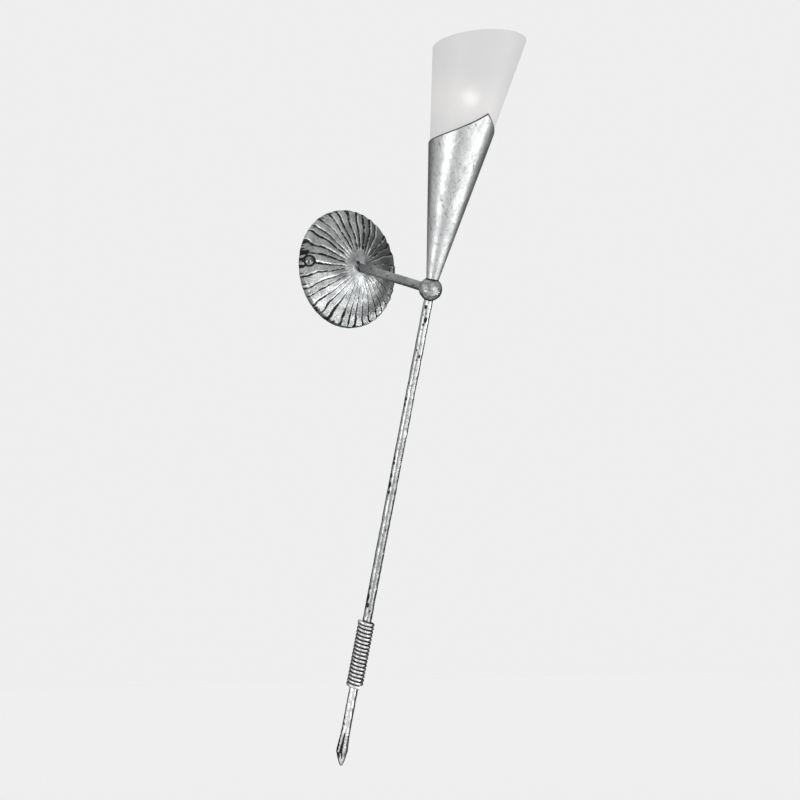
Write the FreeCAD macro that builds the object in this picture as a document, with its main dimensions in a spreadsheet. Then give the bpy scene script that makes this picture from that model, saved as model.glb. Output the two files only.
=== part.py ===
import FreeCAD, Part
import math
import os
import re
import Sketcher

# Torch wall light, in millimetres.
# The wall is the plane Y = 0 and the room is on its -Y side. Z is up.
# The origin is midway between the bracket's two wall slots, on the wall.
# The torch leans out from the wall in the plane X = 0. Heights along it are
# counted from the centre of the ball, upwards to the glass.

Vector = FreeCAD.Vector
X_AXIS = Vector(1, 0, 0)

# ---------------------------------------------------------------- driving sizes

SIZES = {
    # the stance of the torch
    "tilt": 17.05,                # lean of the torch from the vertical, degrees
    "ball_reach": 144.5,          # centre of the ball to the wall
    "ball_drop": 37.5,            # centre of the ball below the rosette's centre
    "strap_rise": 3,              # strap and side screws above the rosette's centre

    # fits shared by several joints
    "thread_gap": 0.05,           # radial gap drawn in a threaded joint
    "hole_gap": 0.15,             # radial gap of a bolt in a plain hole
    "slide_gap": 0.3,             # gap round pieces that lift out
    "pin_gap": 0.08,              # radial gap of the bulb's pins in their contacts
    "overshoot": 1,               # how far a cutting tool runs past a face
    "far": 200,                   # half size of a cutting tool wider than the lamp

    # rosette, a fluted sheet dome
    "rosette_radius": 64,
    "rosette_wall": 1.8,
    "lip_height": 2.5,
    "dome_rise": 22,              # rise of the dome above its lip
    "boss_radius": 14,
    "boss_flat": 8.5,             # flat top of the boss, where the arm stands
    "boss_height": 26,            # top of the boss above the wall
    "flute_count": 34,
    "flute_depth": 0.9,
    "flute_width": 3.2,
    "flute_start": 0.2,           # plain ring between the boss and the flutes
    "screw_circle": 57.5,         # side screws, out from the centre on the dome

    # domed side screws
    "dome_screw_radius": 2,
    "dome_screw_length": 8,
    "dome_head_radius": 4.5,
    "dome_head_height": 3.2,

    # wall bracket, a bent strap
    "strap_thickness": 1.5,
    "strap_width": 20,
    "ear_inner": 6,               # ear, from the screw towards the centre
    "ear_outer": 5,               # ear, from the screw towards the rim
    "slot_spacing": 76,
    "slot_length": 14,
    "slot_width": 4.5,

    # cable grommet in the bracket
    "grommet_bore": 4,
    "grommet_neck": 5.5,
    "grommet_flange": 6.8,
    "grommet_lip": 1.5,

    # terminal block and its brass sleeves
    "block_left": 10,
    "block_depth": 16,
    "block_length": 24,
    "block_height": 11,
    "pole_spacing": 8,
    "pole_height": 5,             # centre of a sleeve above the strap
    "sleeve_radius": 2.3,
    "sleeve_bore": 1.5,
    "sleeve_inset": 1,            # sleeve ends inside the block's faces
    "clamp_screw_radius": 1.25,
    "clamp_head_radius": 1.9,
    "clamp_head_height": 1.6,
    "clamp_sink": 0.8,            # clamp heads below the block's top
    "clamp_inset": 4.5,           # clamp screws from the block's faces
    "block_screw_radius": 1.2,
    "block_screw_head": 2,
    "screw_end": 0.2,             # ends of the bracket's screws short of the wall

    # earth screw and tag
    "earth_x": -17,
    "earth_y": -6.5,
    "earth_screw_radius": 2,
    "earth_head_radius": 3.3,
    "earth_head_height": 2.4,
    "tag_radius": 3.4,
    "tag_thickness": 0.8,
    "tag_length": 9,              # tag, from the screw to the barrel's end
    "tag_barrel_radius": 1.5,
    "tag_step": 0.4,              # from the ring to the barrel
    "tag_lap": 0.6,               # plate inside the barrel
    "tag_floor": 0.8,             # closed end of the barrel

    # wires
    "wire_radius": 0.9,
    "wire_spread": 1.05,          # wire from the middle of the tubes
    "wire_bend": 5,               # bend of the wires inside the ball
    "wire_small_bend": 1.53,      # bend of the wires under the lampholder
    "wire_block_bend": 3.06,      # bend of the wires at the terminal block
    "earth_bend": 2.5,
    "wire_start": 2,              # wire's end inside the lampholder's base
    "wire_turn_reach": 5.5,       # where the wires turn inwards above the stem
    "wire_mouth": 2,              # where they run into the stem, above its end
    "wire_past_arm": 1.5,         # straight run beyond the arm's end
    "wire_before_block": 4,
    "wire_in_block": 6,
    "wire_past_tag": 1.5,

    # arm
    "arm_radius": 5,
    "arm_bore": 2.8,
    "arm_spigot": 4,              # radius of the threaded ends
    "arm_thread_end": 6.5,        # spigot beyond the nut inside the rosette
    "washer_radius": 8,
    "washer_least": 1,            # thin side of the wedge washer
    "arm_nut_flats": 13,
    "arm_nut_height": 4,

    # ball
    "ball_radius": 12.5,
    "cone_seat": 10.4,            # height of the flat under the cone
    "tube_seat": 11.3,            # flats under the arm and the rod
    "ball_cavity": 4.5,
    "tube_margin": 0.5,           # ends of the tubes short of the ball's hollow

    # rod, stud and point
    "rod_radius": 5,
    "rod_bore": 4,
    "rod_end": 488,               # lower end of the rod below the ball
    "stud_length": 24,            # stud, down from the ball's cavity
    "point_tip": 527.5,           # tip of the point below the ball
    "point_wide": 512,            # widest place of the point
    "point_turn": -42,            # fold of the point towards the room's left, degrees
    "point_half_width": 6.2,
    "point_half_depth": 4.8,
    "point_fold": 2.2,            # depth of the fold in the front of the point
    "point_fold_length": 3,       # fold, below the widest place
    "point_tip_aside": 2.3,       # tip to the right of the rod's line
    "point_tip_half_width": 0.8,
    "point_tip_half_depth": 0.7,
    "point_spigot": 10,

    # wire winding round the rod
    "winding_reach": 366.2,       # centre of the first turn below the ball
    "winding_start": -64,         # turn of the wire's lower end about the rod, degrees
    "winding_turns": 17,
    "winding_pitch": 4.14,
    "winding_wire": 3.7,          # diameter of the wire

    # rolled sheet cone
    "cone_foot_radius": 6.6,
    "cone_angle": 9.9,            # half angle of the cone
    "cone_sheet": 0.8,
    "cone_peak": 191.6,           # height of the peak at the front
    "cone_cut_angle": 39.5,       # cut of the flat sheet from the peak, degrees

    # stem, clamp disc and its nut
    "stem_radius": 4,
    "stem_bore": 2.8,
    "stem_tail": 1.5,             # stem beyond its upper nut
    "disc_height": 118,
    "disc_thickness": 3,
    "stem_nut_flats": 13,
    "stem_nut_height": 4,

    # lampholder and its bracket
    "plate_height": 146,
    "plate_thickness": 1.5,
    "plate_width": 14,
    "leg_spread": 12,             # inner face of a bracket leg
    "leg_height": 18,
    "foot_length": 6.5,
    "holder_lift": 14,            # base of the holder above its bracket's plate
    "holder_height": 22,
    "holder_radius": 10,
    "holder_ear_half": 18.5,
    "holder_ear_width": 10,
    "holder_ear_thickness": 3,
    "holder_screw_radius": 1.5,
    "holder_screw_head": 2.6,
    "holder_head_height": 1.5,
    "holder_screw_length": 5,     # below the ear
    "holder_screw_spot": 15.7,    # holder screws, out from the middle
    "holder_cap": 3.5,            # ceramic above the contacts

    # plug-in bulb
    "pin_spacing": 9,
    "pin_radius": 1,
    "pin_length": 11,
    "contact_wall": 0.7,
    "contact_length": 8,
    "contact_tail": 0.9,
    "contact_floor": 0.8,
    "bulb_gap": 0.3,              # seal above the holder
    "seal_width": 13.4,
    "seal_depth": 4.6,
    "seal_height": 13,
    "pin_depth": 3,               # pin inside the seal
    "envelope_radius": 6.8,
    "envelope_wall": 0.8,
    "envelope_height": 17,        # straight part of the envelope
    "filament_rise": 7.1,         # filament above the envelope's floor
    "filament_radius": 0.9,
    "filament_inset": 0.5,        # leads inside the line of the pins
    "lead_radius": 0.35,

    # glass
    "glass_wall": 2.5,
    "glass_height": 258,          # rim of the glass on the torch's axis
    "glass_angle": 9.15,          # half angle of the glass, less than the cone's
    "glass_rim_tilt": 22.3,       # rim plane, higher at the front, degrees
    "glass_seat_gap": 0.2,
}

# Sizes worked out from the driving ones. Each may use the ones above it.
WORKED = {
    "dome_radius": "(rosette_radius^2 + dome_rise^2) / (2 * dome_rise)",
    "dome_centre": "lip_height + dome_rise - dome_radius",
    "screw_lean": "asin(screw_circle / dome_radius)",
    "boss_back": "sqrt((dome_radius - rosette_wall)^2 - boss_radius^2) + dome_centre",
    "boss_edge": "sqrt(dome_radius^2 - boss_radius^2) + dome_centre",
    "ear_half": "strap_width / 2 + strap_rise",
    "ear_face": "sqrt((dome_radius - rosette_wall)^2 - ear_half^2 - ear_inner^2) - thread_gap",
    "stem_end": "plate_height + plate_thickness + stem_nut_height + stem_tail",
    "arm_foot": "(ball_reach - boss_back) / cos(tilt)",
    "arm_nut_seat": "arm_foot + washer_radius * tan(tilt) + washer_least",
    "arm_end": "arm_nut_seat + arm_nut_height + arm_thread_end",
    "pole_level": "strap_thickness + pole_height",
    "block_top": "strap_thickness + block_height",
    "tube_inner_end": "ball_cavity + tube_margin",
    "cone_slope": "tan(cone_angle)",
    "cone_apex": "cone_seat - cone_foot_radius / cone_slope",
    "sheet_across": "cone_sheet / cos(cone_angle)",
    "disc_top": "disc_height + disc_thickness",
    "disc_radius": "(disc_height - cone_apex) * cone_slope - sheet_across - thread_gap",
    "glass_foot": "disc_top + glass_seat_gap",
    "glass_foot_radius": "(glass_foot - cone_apex) * cone_slope - sheet_across - slide_gap",
    "glass_rim_radius": "glass_foot_radius + (glass_height - glass_foot) * tan(glass_angle)",
    "holder_base": "plate_height + holder_lift",
    "holder_top": "holder_base + holder_height",
    "leg_top": "plate_height + leg_height",
    "contact_top": "holder_top - holder_cap",
    "contact_radius": "pin_radius + pin_gap + contact_wall",
    "seal_base": "holder_top + bulb_gap",
    "envelope_base": "seal_base + seal_height",
    "envelope_floor": "envelope_base + 2 * envelope_wall",
    "envelope_top": "envelope_base + envelope_height",
    "filament_height": "envelope_floor + filament_rise",
    "turn_radius": "rod_radius + thread_gap + winding_wire / 2",
}

doc = FreeCAD.newDocument("torch_wall_light")
sheet = doc.addObject("Spreadsheet::Sheet", "Sizes")
for row, (alias, number) in enumerate(SIZES.items(), start=1):
    sheet.set(f"A{row}", alias)
    sheet.set(f"B{row}", str(number))
    sheet.setAlias(f"B{row}", alias)
doc.recompute()


def formula(text):
    """Give every size name in the text its sheet, so FreeCAD can work it out."""
    def full_name(match):
        word = match.group()
        if word in SIZES:
            return "Sizes." + word
        if word in WORKED:
            return "Worked." + word
        return word
    return re.sub(r"[a-z_]+", full_name, str(text))


worked = doc.addObject("App::VarSet", "Worked")
for name, text in WORKED.items():
    worked.addProperty("App::PropertyFloat", name, "Worked")
    worked.setExpression(name, formula(text))
doc.recompute()


def size(name):
    """The value of a driving or worked-out size."""
    if name in SIZES:
        return float(sheet.get(name))
    return float(getattr(worked, name))


# ------------------------------------------------------------------ placements

# Each frame is turned about X and has its Z axis along one main direction:
# out of the wall, up the torch, or from the ball to the wall along the arm.
FRAMES = {
    "strap": {"turn": "90", "y": "0", "z": "0"},
    "rosette": {"turn": "90", "y": "0", "z": "-strap_rise"},
    "torch": {"turn": "tilt", "y": "-ball_reach", "z": "-strap_rise - ball_drop"},
    "arm": {"turn": "tilt - 90", "y": "-ball_reach", "z": "-strap_rise - ball_drop"},
    "world": {"turn": "0", "y": "0", "z": "0"},
}


def place_base(obj, frame, x="0", y="0", z="0"):
    """Bind an object's base to a spot (x, y, z) of a frame."""
    spot = FRAMES[frame]
    turn = f"({spot['turn']})"
    across = f"{spot['y']} + ({y}) * cos({turn}) - ({z}) * sin({turn})"
    upward = f"{spot['z']} + ({y}) * sin({turn}) + ({z}) * cos({turn})"
    obj.setExpression("Placement.Base.x", formula(x))
    obj.setExpression("Placement.Base.y", formula(across))
    obj.setExpression("Placement.Base.z", formula(upward))


def place(obj, frame, x="0", y="0", z="0"):
    """Bind an object's placement to a spot of a frame, turned with the frame."""
    obj.Placement = FreeCAD.Placement(Vector(0, 0, 0), FreeCAD.Rotation(X_AXIS, 45))
    obj.setExpression("Placement.Rotation.Angle", formula(FRAMES[frame]["turn"]))
    place_base(obj, frame, x, y, z)


def place_leaned(obj, side, distance):
    """Bind a placement to the axis of a side screw, square to the dome.

    side is 1 or -1 along X, and distance is counted from the dome's centre.
    """
    quarter = FreeCAD.Rotation(Vector(1, side, 0), 90)
    obj.Placement = FreeCAD.Placement(Vector(0, 0, 0), quarter)
    obj.setExpression("Placement.Rotation.Axis.x", formula("cos(screw_lean)"))
    obj.setExpression("Placement.Rotation.Axis.y", formula(f"{side} * sin(screw_lean)"))
    obj.setExpression("Placement.Base.x", formula(f"{side} * ({distance}) * sin(screw_lean)"))
    outward = f"-dome_centre - ({distance}) * cos(screw_lean)"
    obj.setExpression("Placement.Base.y", formula(outward))
    obj.setExpression("Placement.Base.z", "0")


def frame_placement(frame):
    """The same frame as a plain placement, for shapes worked out point by point."""
    tilt = size("tilt")
    rise = size("strap_rise")
    ball = Vector(0, -size("ball_reach"), -rise - size("ball_drop"))
    origins = {"strap": Vector(0, 0, 0), "rosette": Vector(0, 0, -rise), "torch": ball, "arm": ball}
    turns = {"strap": 90, "rosette": 90, "torch": tilt, "arm": tilt - 90}
    return FreeCAD.Placement(origins[frame], FreeCAD.Rotation(X_AXIS, turns[frame]))


def put(frame, x, y, z):
    """A point of a frame in the world."""
    return frame_placement(frame).multVec(Vector(x, y, z))


# ------------------------------------------------------------------ primitives

def bind(obj, **sizes):
    """Bind properties of an object to formulas of size names."""
    for prop, text in sizes.items():
        obj.setExpression(prop, formula(text))


def cylinder(name, radius, low, high, frame, x="0", y="0"):
    """A round bar along a frame's Z axis, from low to high."""
    obj = doc.addObject("Part::Cylinder", name)
    bind(obj, Radius=radius, Height=f"({high}) - ({low})")
    place(obj, frame, x, y, low)
    return obj


def taper(name, low_radius, high_radius, low, high, frame):
    """A truncated cone along a frame's Z axis, from low to high."""
    obj = doc.addObject("Part::Cone", name)
    bind(obj, Radius1=low_radius, Radius2=high_radius, Height=f"({high}) - ({low})")
    place(obj, frame, z=low)
    return obj


def sphere(name, radius, frame, x="0", y="0", z="0"):
    obj = doc.addObject("Part::Sphere", name)
    bind(obj, Radius=radius)
    place(obj, frame, x, y, z)
    return obj


def block(name, across, along, upward, frame):
    """A box of a frame; each pair gives the two ends on one axis."""
    obj = doc.addObject("Part::Box", name)
    bind(obj, Length=f"({across[1]}) - ({across[0]})")
    bind(obj, Width=f"({along[1]}) - ({along[0]})")
    bind(obj, Height=f"({upward[1]}) - ({upward[0]})")
    place(obj, frame, across[0], along[0], upward[0])
    return obj


def hexagon(name, flats, low, high, frame):
    """A six-sided bar along a frame's Z axis."""
    obj = doc.addObject("Part::Prism", name)
    obj.Polygon = 6
    bind(obj, Circumradius=f"({flats}) / 2 / cos(30)", Height=f"({high}) - ({low})")
    place(obj, frame, z=low)
    return obj


def bar_along_x(name, radius, low, high, frame, y, z):
    """A round bar along X, from low to high, at (y, z) of a frame."""
    obj = doc.addObject("Part::Cylinder", name)
    bind(obj, Radius=radius, Height=f"({high}) - ({low})")
    obj.Placement = FreeCAD.Placement(Vector(0, 0, 0), FreeCAD.Rotation(Vector(0, 1, 0), 90))
    place_base(obj, frame, low, y, z)
    return obj


def leaned_bar(name, radius, low, high, side):
    """A round bar on the axis of a side screw."""
    obj = doc.addObject("Part::Cylinder", name)
    bind(obj, Radius=radius, Height=f"({high}) - ({low})")
    place_leaned(obj, side, low)
    return obj


def common(name, first, second):
    obj = doc.addObject("Part::Common", name)
    obj.Base = first
    obj.Tool = second
    return obj


def fuse(name, pieces):
    obj = doc.addObject("Part::MultiFuse", name)
    obj.Shapes = pieces
    obj.Refine = True
    return obj


def group(name, pieces):
    obj = doc.addObject("Part::Compound", name)
    obj.Links = pieces
    return obj


def cut(name, base, tools):
    """The base without its tools."""
    obj = doc.addObject("Part::Cut", name)
    obj.Base = base
    if len(tools) == 1:
        obj.Tool = tools[0]
    else:
        obj.Tool = fuse(name + "_tools", tools)
    return obj


def tube(name, radius, bore, low, high, frame):
    """A tube along a frame's Z axis."""
    outside = cylinder(name + "_outside", radius, low, high, frame)
    inside = cylinder(name + "_bore", bore, low, high, frame)
    return cut(name + "_tube", outside, [inside])


NODES = []


def node(obj, label):
    """Name a finished sub-part and list it for export."""
    obj.Label = label
    NODES.append(obj)
    return obj


def shaped(name, shape):
    """A sub-part whose shape is worked out point by point."""
    obj = doc.addObject("Part::Feature", name)
    obj.Shape = shape
    return obj


# -------------------------------------------------------------------- sketches

def polygon_sketch(body, corners):
    """A closed outline on the body's XZ plane, each corner a pair of formulas."""
    name = body.Name + "_outline"
    spots = doc.addObject("App::VarSet", body.Name + "_corners")
    for index, corner in enumerate(corners):
        for axis, text in zip("xy", corner):
            spots.addProperty("App::PropertyFloat", f"{axis}_{index}", "Corners")
            spots.setExpression(f"{axis}_{index}", formula(text))
    doc.recompute()
    sketch = body.newObject("Sketcher::SketchObject", name)
    plane = [part for part in body.Origin.OriginFeatures if part.Role == "XZ_Plane"][0]
    sketch.AttachmentSupport = [(plane, "")]
    sketch.MapMode = "FlatFace"
    count = len(corners)
    points = []
    for index in range(count):
        spot = (getattr(spots, f"x_{index}"), getattr(spots, f"y_{index}"))
        points.append(Vector(*spot, 0))
    for index in range(count):
        following = (index + 1) % count
        sketch.addGeometry(Part.LineSegment(points[index], points[following]), False)
    for index in range(count):
        following = (index + 1) % count
        sketch.addConstraint(Sketcher.Constraint("Coincident", index, 2, following, 1))
    for index, point in enumerate(points):
        for kind, axis, value in (("DistanceX", "x", point.x), ("DistanceY", "y", point.y)):
            number = sketch.addConstraint(Sketcher.Constraint(kind, -1, 1, index, 1, value))
            sketch.renameConstraint(number, f"{axis}_{index}")
            sketch.setExpression(f"Constraints.{axis}_{index}", f"{spots.Name}.{axis}_{index}")
    return sketch


def pad_body(name, corners, width, frame, z="0"):
    """A bent or stamped piece: an outline padded both ways from the middle."""
    body = doc.addObject("PartDesign::Body", name)
    sketch = polygon_sketch(body, corners)
    pad = body.newObject("PartDesign::Pad", name + "_pad")
    pad.Profile = sketch
    pad.Midplane = True
    bind(pad, Length=width)
    place(body, frame, z=z)
    return body


def turned_body(name, corners, frame, z="0"):
    """A turned piece: an outline revolved about the frame's Z axis."""
    body = doc.addObject("PartDesign::Body", name)
    sketch = polygon_sketch(body, corners)
    turned = body.newObject("PartDesign::Revolution", name + "_turned")
    turned.Profile = sketch
    turned.ReferenceAxis = (sketch, ["V_Axis"])
    turned.Angle = 360
    place(body, frame, z=z)
    return body


# --------------------------------------------------------------------- rosette

def flute_cutters():
    """V grooves along the dome, one for each flute, between the side screws."""
    radius = size("dome_radius")
    middle = Vector(0, 0, size("dome_centre"))
    half = size("flute_width") / 2
    top = radius + size("overshoot")
    floor = radius - size("flute_depth")
    outline = [(0, floor), (half, radius), (half, top), (-half, top), (-half, radius)]
    corners = [middle + Vector(0, across, away) for across, away in outline]
    section = Part.Face(Part.makePolygon(corners + corners[:1]))
    start = size("boss_radius") + size("flute_start")
    inner = math.degrees(math.asin(start / radius))
    outer = math.degrees(math.asin(size("rosette_radius") / radius)) + size("overshoot")
    across_axis = Vector(0, 1, 0)
    section.rotate(middle, across_axis, inner)
    groove = section.revolve(middle, across_axis, outer - inner)
    count = int(size("flute_count"))
    grooves = []
    for index in range(count):
        copy = groove.copy()
        copy.rotate(Vector(0, 0, 0), Vector(0, 0, 1), (index + 0.5) * 360 / count)
        grooves.append(copy)
    return Part.makeCompound(grooves)


dome_outside = common(
    "dome_outside",
    sphere("dome_outer_ball", "dome_radius", "rosette", z="dome_centre"),
    cylinder("dome_outer_edge", "rosette_radius", "0", "boss_height", "rosette"),
)
dome_inside = common(
    "dome_inside",
    sphere("dome_inner_ball", "dome_radius - rosette_wall", "rosette", z="dome_centre"),
    cylinder("dome_inner_edge", "rosette_radius - rosette_wall", "-overshoot", "boss_height", "rosette"),
)
plain_dome = cut("plain_dome", dome_outside, [dome_inside])
doc.recompute()
flutes = shaped("flutes", flute_cutters())
flutes.Placement = frame_placement("rosette")
fluted_dome = cut("fluted_dome", plain_dome, [flutes])
boss = turned_body(
    "boss",
    [("0", "boss_back"), ("boss_radius", "boss_back"), ("boss_radius", "boss_edge"),
     ("boss_flat", "boss_height"), ("0", "boss_height")],
    "rosette",
)
rosette = cut(
    "rosette_drilled",
    fuse("rosette_solid", [fluted_dome, boss]),
    [cylinder("arm_hole", "arm_spigot + hole_gap", "arm_foot - boss_height", "arm_end", "arm")]
    + [
        leaned_bar(f"dome_screw_hole_{side + 1}", "dome_screw_radius + hole_gap",
                   "dome_radius - dome_screw_length - overshoot", "dome_radius + overshoot", side)
        for side in (-1, 1)
    ],
)
node(rosette, "rosette")

HEAD_BALL = "((dome_head_radius^2 + dome_head_height^2) / (2 * dome_head_height))"


def dome_screw(side):
    """A screw with a domed head, square to the rosette's face."""
    shank = leaned_bar(f"dome_shank_{side + 1}", "dome_screw_radius",
                       "dome_radius - dome_screw_length", "dome_radius + dome_head_height / 4", side)
    head_round = doc.addObject("Part::Sphere", f"dome_head_round_{side + 1}")
    bind(head_round, Radius=HEAD_BALL)
    place_leaned(head_round, side, f"dome_radius + dome_head_height - {HEAD_BALL}")
    head_edge = leaned_bar(f"dome_head_edge_{side + 1}", "dome_head_radius",
                           "dome_radius + thread_gap", "dome_radius + dome_head_height", side)
    head = common(f"dome_head_{side + 1}", head_round, head_edge)
    return fuse(f"dome_screw_{side + 1}", [shank, head])


node(group("dome_screws", [dome_screw(-1), dome_screw(1)]), "rosette_screws")


# ---------------------------------------------------------------- wall bracket

def ear_corner(side, away, along):
    """A corner of the bent ear: away from the dome's centre, and along it outwards."""
    x_text = f"{side} * (({away}) * sin(screw_lean) + ({along}) * cos(screw_lean))"
    y_text = f"dome_centre + ({away}) * cos(screw_lean) - ({along}) * sin(screw_lean)"
    return (x_text, y_text)


def ear_under_leg(side):
    """Where the leg's outer face runs into the underside of the ear."""
    leg_x = "(ear_face * sin(screw_lean) - ear_inner * cos(screw_lean) + strap_thickness)"
    along = f"(({leg_x}) - (ear_face - strap_thickness) * sin(screw_lean)) / cos(screw_lean)"
    return (f"{side} * {leg_x}", ear_corner(side, "ear_face - strap_thickness", along)[1])


def bracket_side(side):
    """The corners of one end of the strap, from the wall to its upper face."""
    leg_x = ear_under_leg(side)[0]
    upper_end = ear_corner(side, "ear_face", "-ear_inner")
    return [
        (leg_x, "0"),
        ear_under_leg(side),
        ear_corner(side, "ear_face - strap_thickness", "ear_outer"),
        ear_corner(side, "ear_face", "ear_outer"),
        upper_end,
        (upper_end[0], "strap_thickness"),
    ]


strap = pad_body(
    "bent_strap",
    bracket_side(1) + list(reversed(bracket_side(-1))),
    "strap_width",
    "strap",
)


def slot_tool(side):
    """A slotted hole along X for one wall screw."""
    half = "(slot_length - slot_width) / 2"
    middle = f"{side} * slot_spacing / 2"
    ends = [
        cylinder(f"slot_end_{side + 1}_{end + 1}", "slot_width / 2", "-overshoot",
                 "strap_thickness + overshoot", "strap", x=f"{middle} + {end} * {half}")
        for end in (-1, 1)
    ]
    straight = block(f"slot_straight_{side + 1}", (f"{middle} - {half}", f"{middle} + {half}"),
                     ("-slot_width / 2", "slot_width / 2"),
                     ("-overshoot", "strap_thickness + overshoot"), "strap")
    return ends + [straight]


BLOCK_SCREW_X = "block_left + block_depth / 2"
BLOCK_SCREW_Y = "pole_spacing / 2"

bracket_tools = slot_tool(-1) + slot_tool(1) + [
    cylinder("grommet_hole", "grommet_neck", "-overshoot", "strap_thickness + overshoot", "strap"),
    cylinder("earth_hole", "earth_screw_radius + thread_gap", "-overshoot",
             "strap_thickness + overshoot", "strap", x="earth_x", y="earth_y"),
    cylinder("block_screw_hole", "block_screw_radius + thread_gap", "-overshoot",
             "strap_thickness + overshoot", "strap", x=BLOCK_SCREW_X, y=BLOCK_SCREW_Y),
] + [
    leaned_bar(f"ear_thread_{side + 1}", "dome_screw_radius + thread_gap",
               "dome_radius - dome_screw_length - overshoot", "dome_radius + overshoot", side)
    for side in (-1, 1)
]
node(cut("wall_strap", strap, bracket_tools), "wall_bracket")

grommet = turned_body(
    "grommet_ring",
    [("grommet_bore", "0"), ("grommet_neck - thread_gap", "0"),
     ("grommet_neck - thread_gap", "strap_thickness"), ("grommet_flange", "strap_thickness"),
     ("grommet_flange", "strap_thickness + grommet_lip"),
     ("grommet_bore", "strap_thickness + grommet_lip")],
    "strap",
)
node(grommet, "cable_grommet")


# -------------------------------------------------------------- terminal block

POLES = (-1, 0, 1)
SLEEVE_LEFT = "block_left + sleeve_inset"
SLEEVE_RIGHT = "block_left + block_depth - sleeve_inset"
CLAMP_SPOTS = ("block_left + clamp_inset", "block_left + block_depth - clamp_inset")
CLAMP_HEAD_LOW = "block_top - clamp_head_height - clamp_sink"


def pole_bars(label, radius, low, high):
    """One round bar along X for each pole of the terminal block."""
    return [
        bar_along_x(f"{label}_{pole + 1}", radius, low, high, "strap",
                    f"{pole} * pole_spacing", "pole_level")
        for pole in POLES
    ]


def clamp_bars(label, radius, low, high):
    """One upright bar at each clamp screw."""
    return [
        cylinder(f"{label}_{pole + 1}_{number}", radius, low, high, "strap",
                 x=spot, y=f"{pole} * pole_spacing")
        for pole in POLES
        for number, spot in enumerate(CLAMP_SPOTS)
    ]


def block_screw_bar(label, radius, low, high):
    """An upright bar on the axis of the terminal block's own screw."""
    return cylinder(label, radius, low, high, "strap", x=BLOCK_SCREW_X, y=BLOCK_SCREW_Y)


terminal_body = block(
    "terminal_body",
    ("block_left", "block_left + block_depth"),
    ("-block_length / 2", "block_length / 2"),
    ("strap_thickness", "block_top"),
    "strap",
)
terminal_tools = (
    pole_bars("sleeve_space", "sleeve_radius + thread_gap", SLEEVE_LEFT, SLEEVE_RIGHT)
    + pole_bars("wire_mouth", "sleeve_bore", "block_left - overshoot",
                "block_left + block_depth + overshoot")
    + clamp_bars("clamp_space", "clamp_head_radius + hole_gap", "pole_level", "block_top + overshoot")
    + [block_screw_bar("block_screw_space", "block_screw_radius + hole_gap", "0", "block_top + overshoot"),
       block_screw_bar("block_head_space", "block_screw_head + hole_gap",
                       "pole_level + clamp_head_radius", "block_top + overshoot")]
)
node(cut("terminal_shell", terminal_body, terminal_tools), "terminal_block")

sleeve_bars = group("sleeve_bars", pole_bars("sleeve", "sleeve_radius", SLEEVE_LEFT, SLEEVE_RIGHT))
sleeve_tools = pole_bars("sleeve_hole", "sleeve_bore", "block_left", "block_left + block_depth")
sleeve_tools += clamp_bars("clamp_thread", "clamp_screw_radius + thread_gap", "pole_level", "block_top")
node(cut("sleeves", sleeve_bars, sleeve_tools), "terminal_sleeves")


def clamp_screws():
    """Six small screws that hold the wires in the sleeves."""
    shanks = clamp_bars("clamp_shank", "clamp_screw_radius", "pole_level + wire_radius + thread_gap",
                        CLAMP_HEAD_LOW)
    heads = clamp_bars("clamp_head", "clamp_head_radius", CLAMP_HEAD_LOW,
                       CLAMP_HEAD_LOW + " + clamp_head_height")
    return [
        fuse(f"clamp_screw_{number}", [shank, head])
        for number, (shank, head) in enumerate(zip(shanks, heads))
    ]


node(group("clamp_screws", clamp_screws()), "terminal_screws")
node(
    fuse("block_screw_piece", [
        block_screw_bar("block_screw_shank", "block_screw_radius", "screw_end",
                        "pole_level + clamp_head_radius"),
        block_screw_bar("block_screw_top", "block_screw_head", "pole_level + clamp_head_radius",
                        "pole_level + clamp_head_radius + clamp_head_height"),
    ]),
    "terminal_block_screw",
)


# ------------------------------------------------------------------- earth tag

TAG_TOP = "strap_thickness + tag_thickness"
TAG_AXIS = "strap_thickness + tag_barrel_radius"
TAG_END = "earth_x + tag_length"

TAG_BARREL_START = "earth_x + tag_radius + tag_step"
tag_plate = fuse("tag_plate", [
    cylinder("tag_ring", "tag_radius", "strap_thickness", TAG_TOP, "strap", x="earth_x", y="earth_y"),
    block("tag_neck", ("earth_x", TAG_BARREL_START + " + tag_lap"),
          ("earth_y - tag_barrel_radius", "earth_y + tag_barrel_radius"),
          ("strap_thickness", TAG_TOP), "strap"),
    bar_along_x("tag_barrel", "tag_barrel_radius", TAG_BARREL_START, TAG_END,
                "strap", "earth_y", TAG_AXIS),
])
tag_tools = [
    cylinder("tag_hole", "earth_screw_radius + hole_gap", "0", TAG_TOP + " + overshoot", "strap",
             x="earth_x", y="earth_y"),
    bar_along_x("tag_bore", "wire_radius", TAG_BARREL_START + " + tag_floor", TAG_END + " + overshoot",
                "strap", "earth_y", TAG_AXIS),
]
node(cut("tag_piece", tag_plate, tag_tools), "earth_tag")
node(
    fuse("earth_screw_piece", [
        cylinder("earth_shank", "earth_screw_radius", "screw_end", TAG_TOP, "strap",
                 x="earth_x", y="earth_y"),
        cylinder("earth_head", "earth_head_radius", TAG_TOP, TAG_TOP + " + earth_head_height",
                 "strap", x="earth_x", y="earth_y"),
    ]),
    "earth_screw",
)


# ------------------------------------------------------------------------- arm

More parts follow.
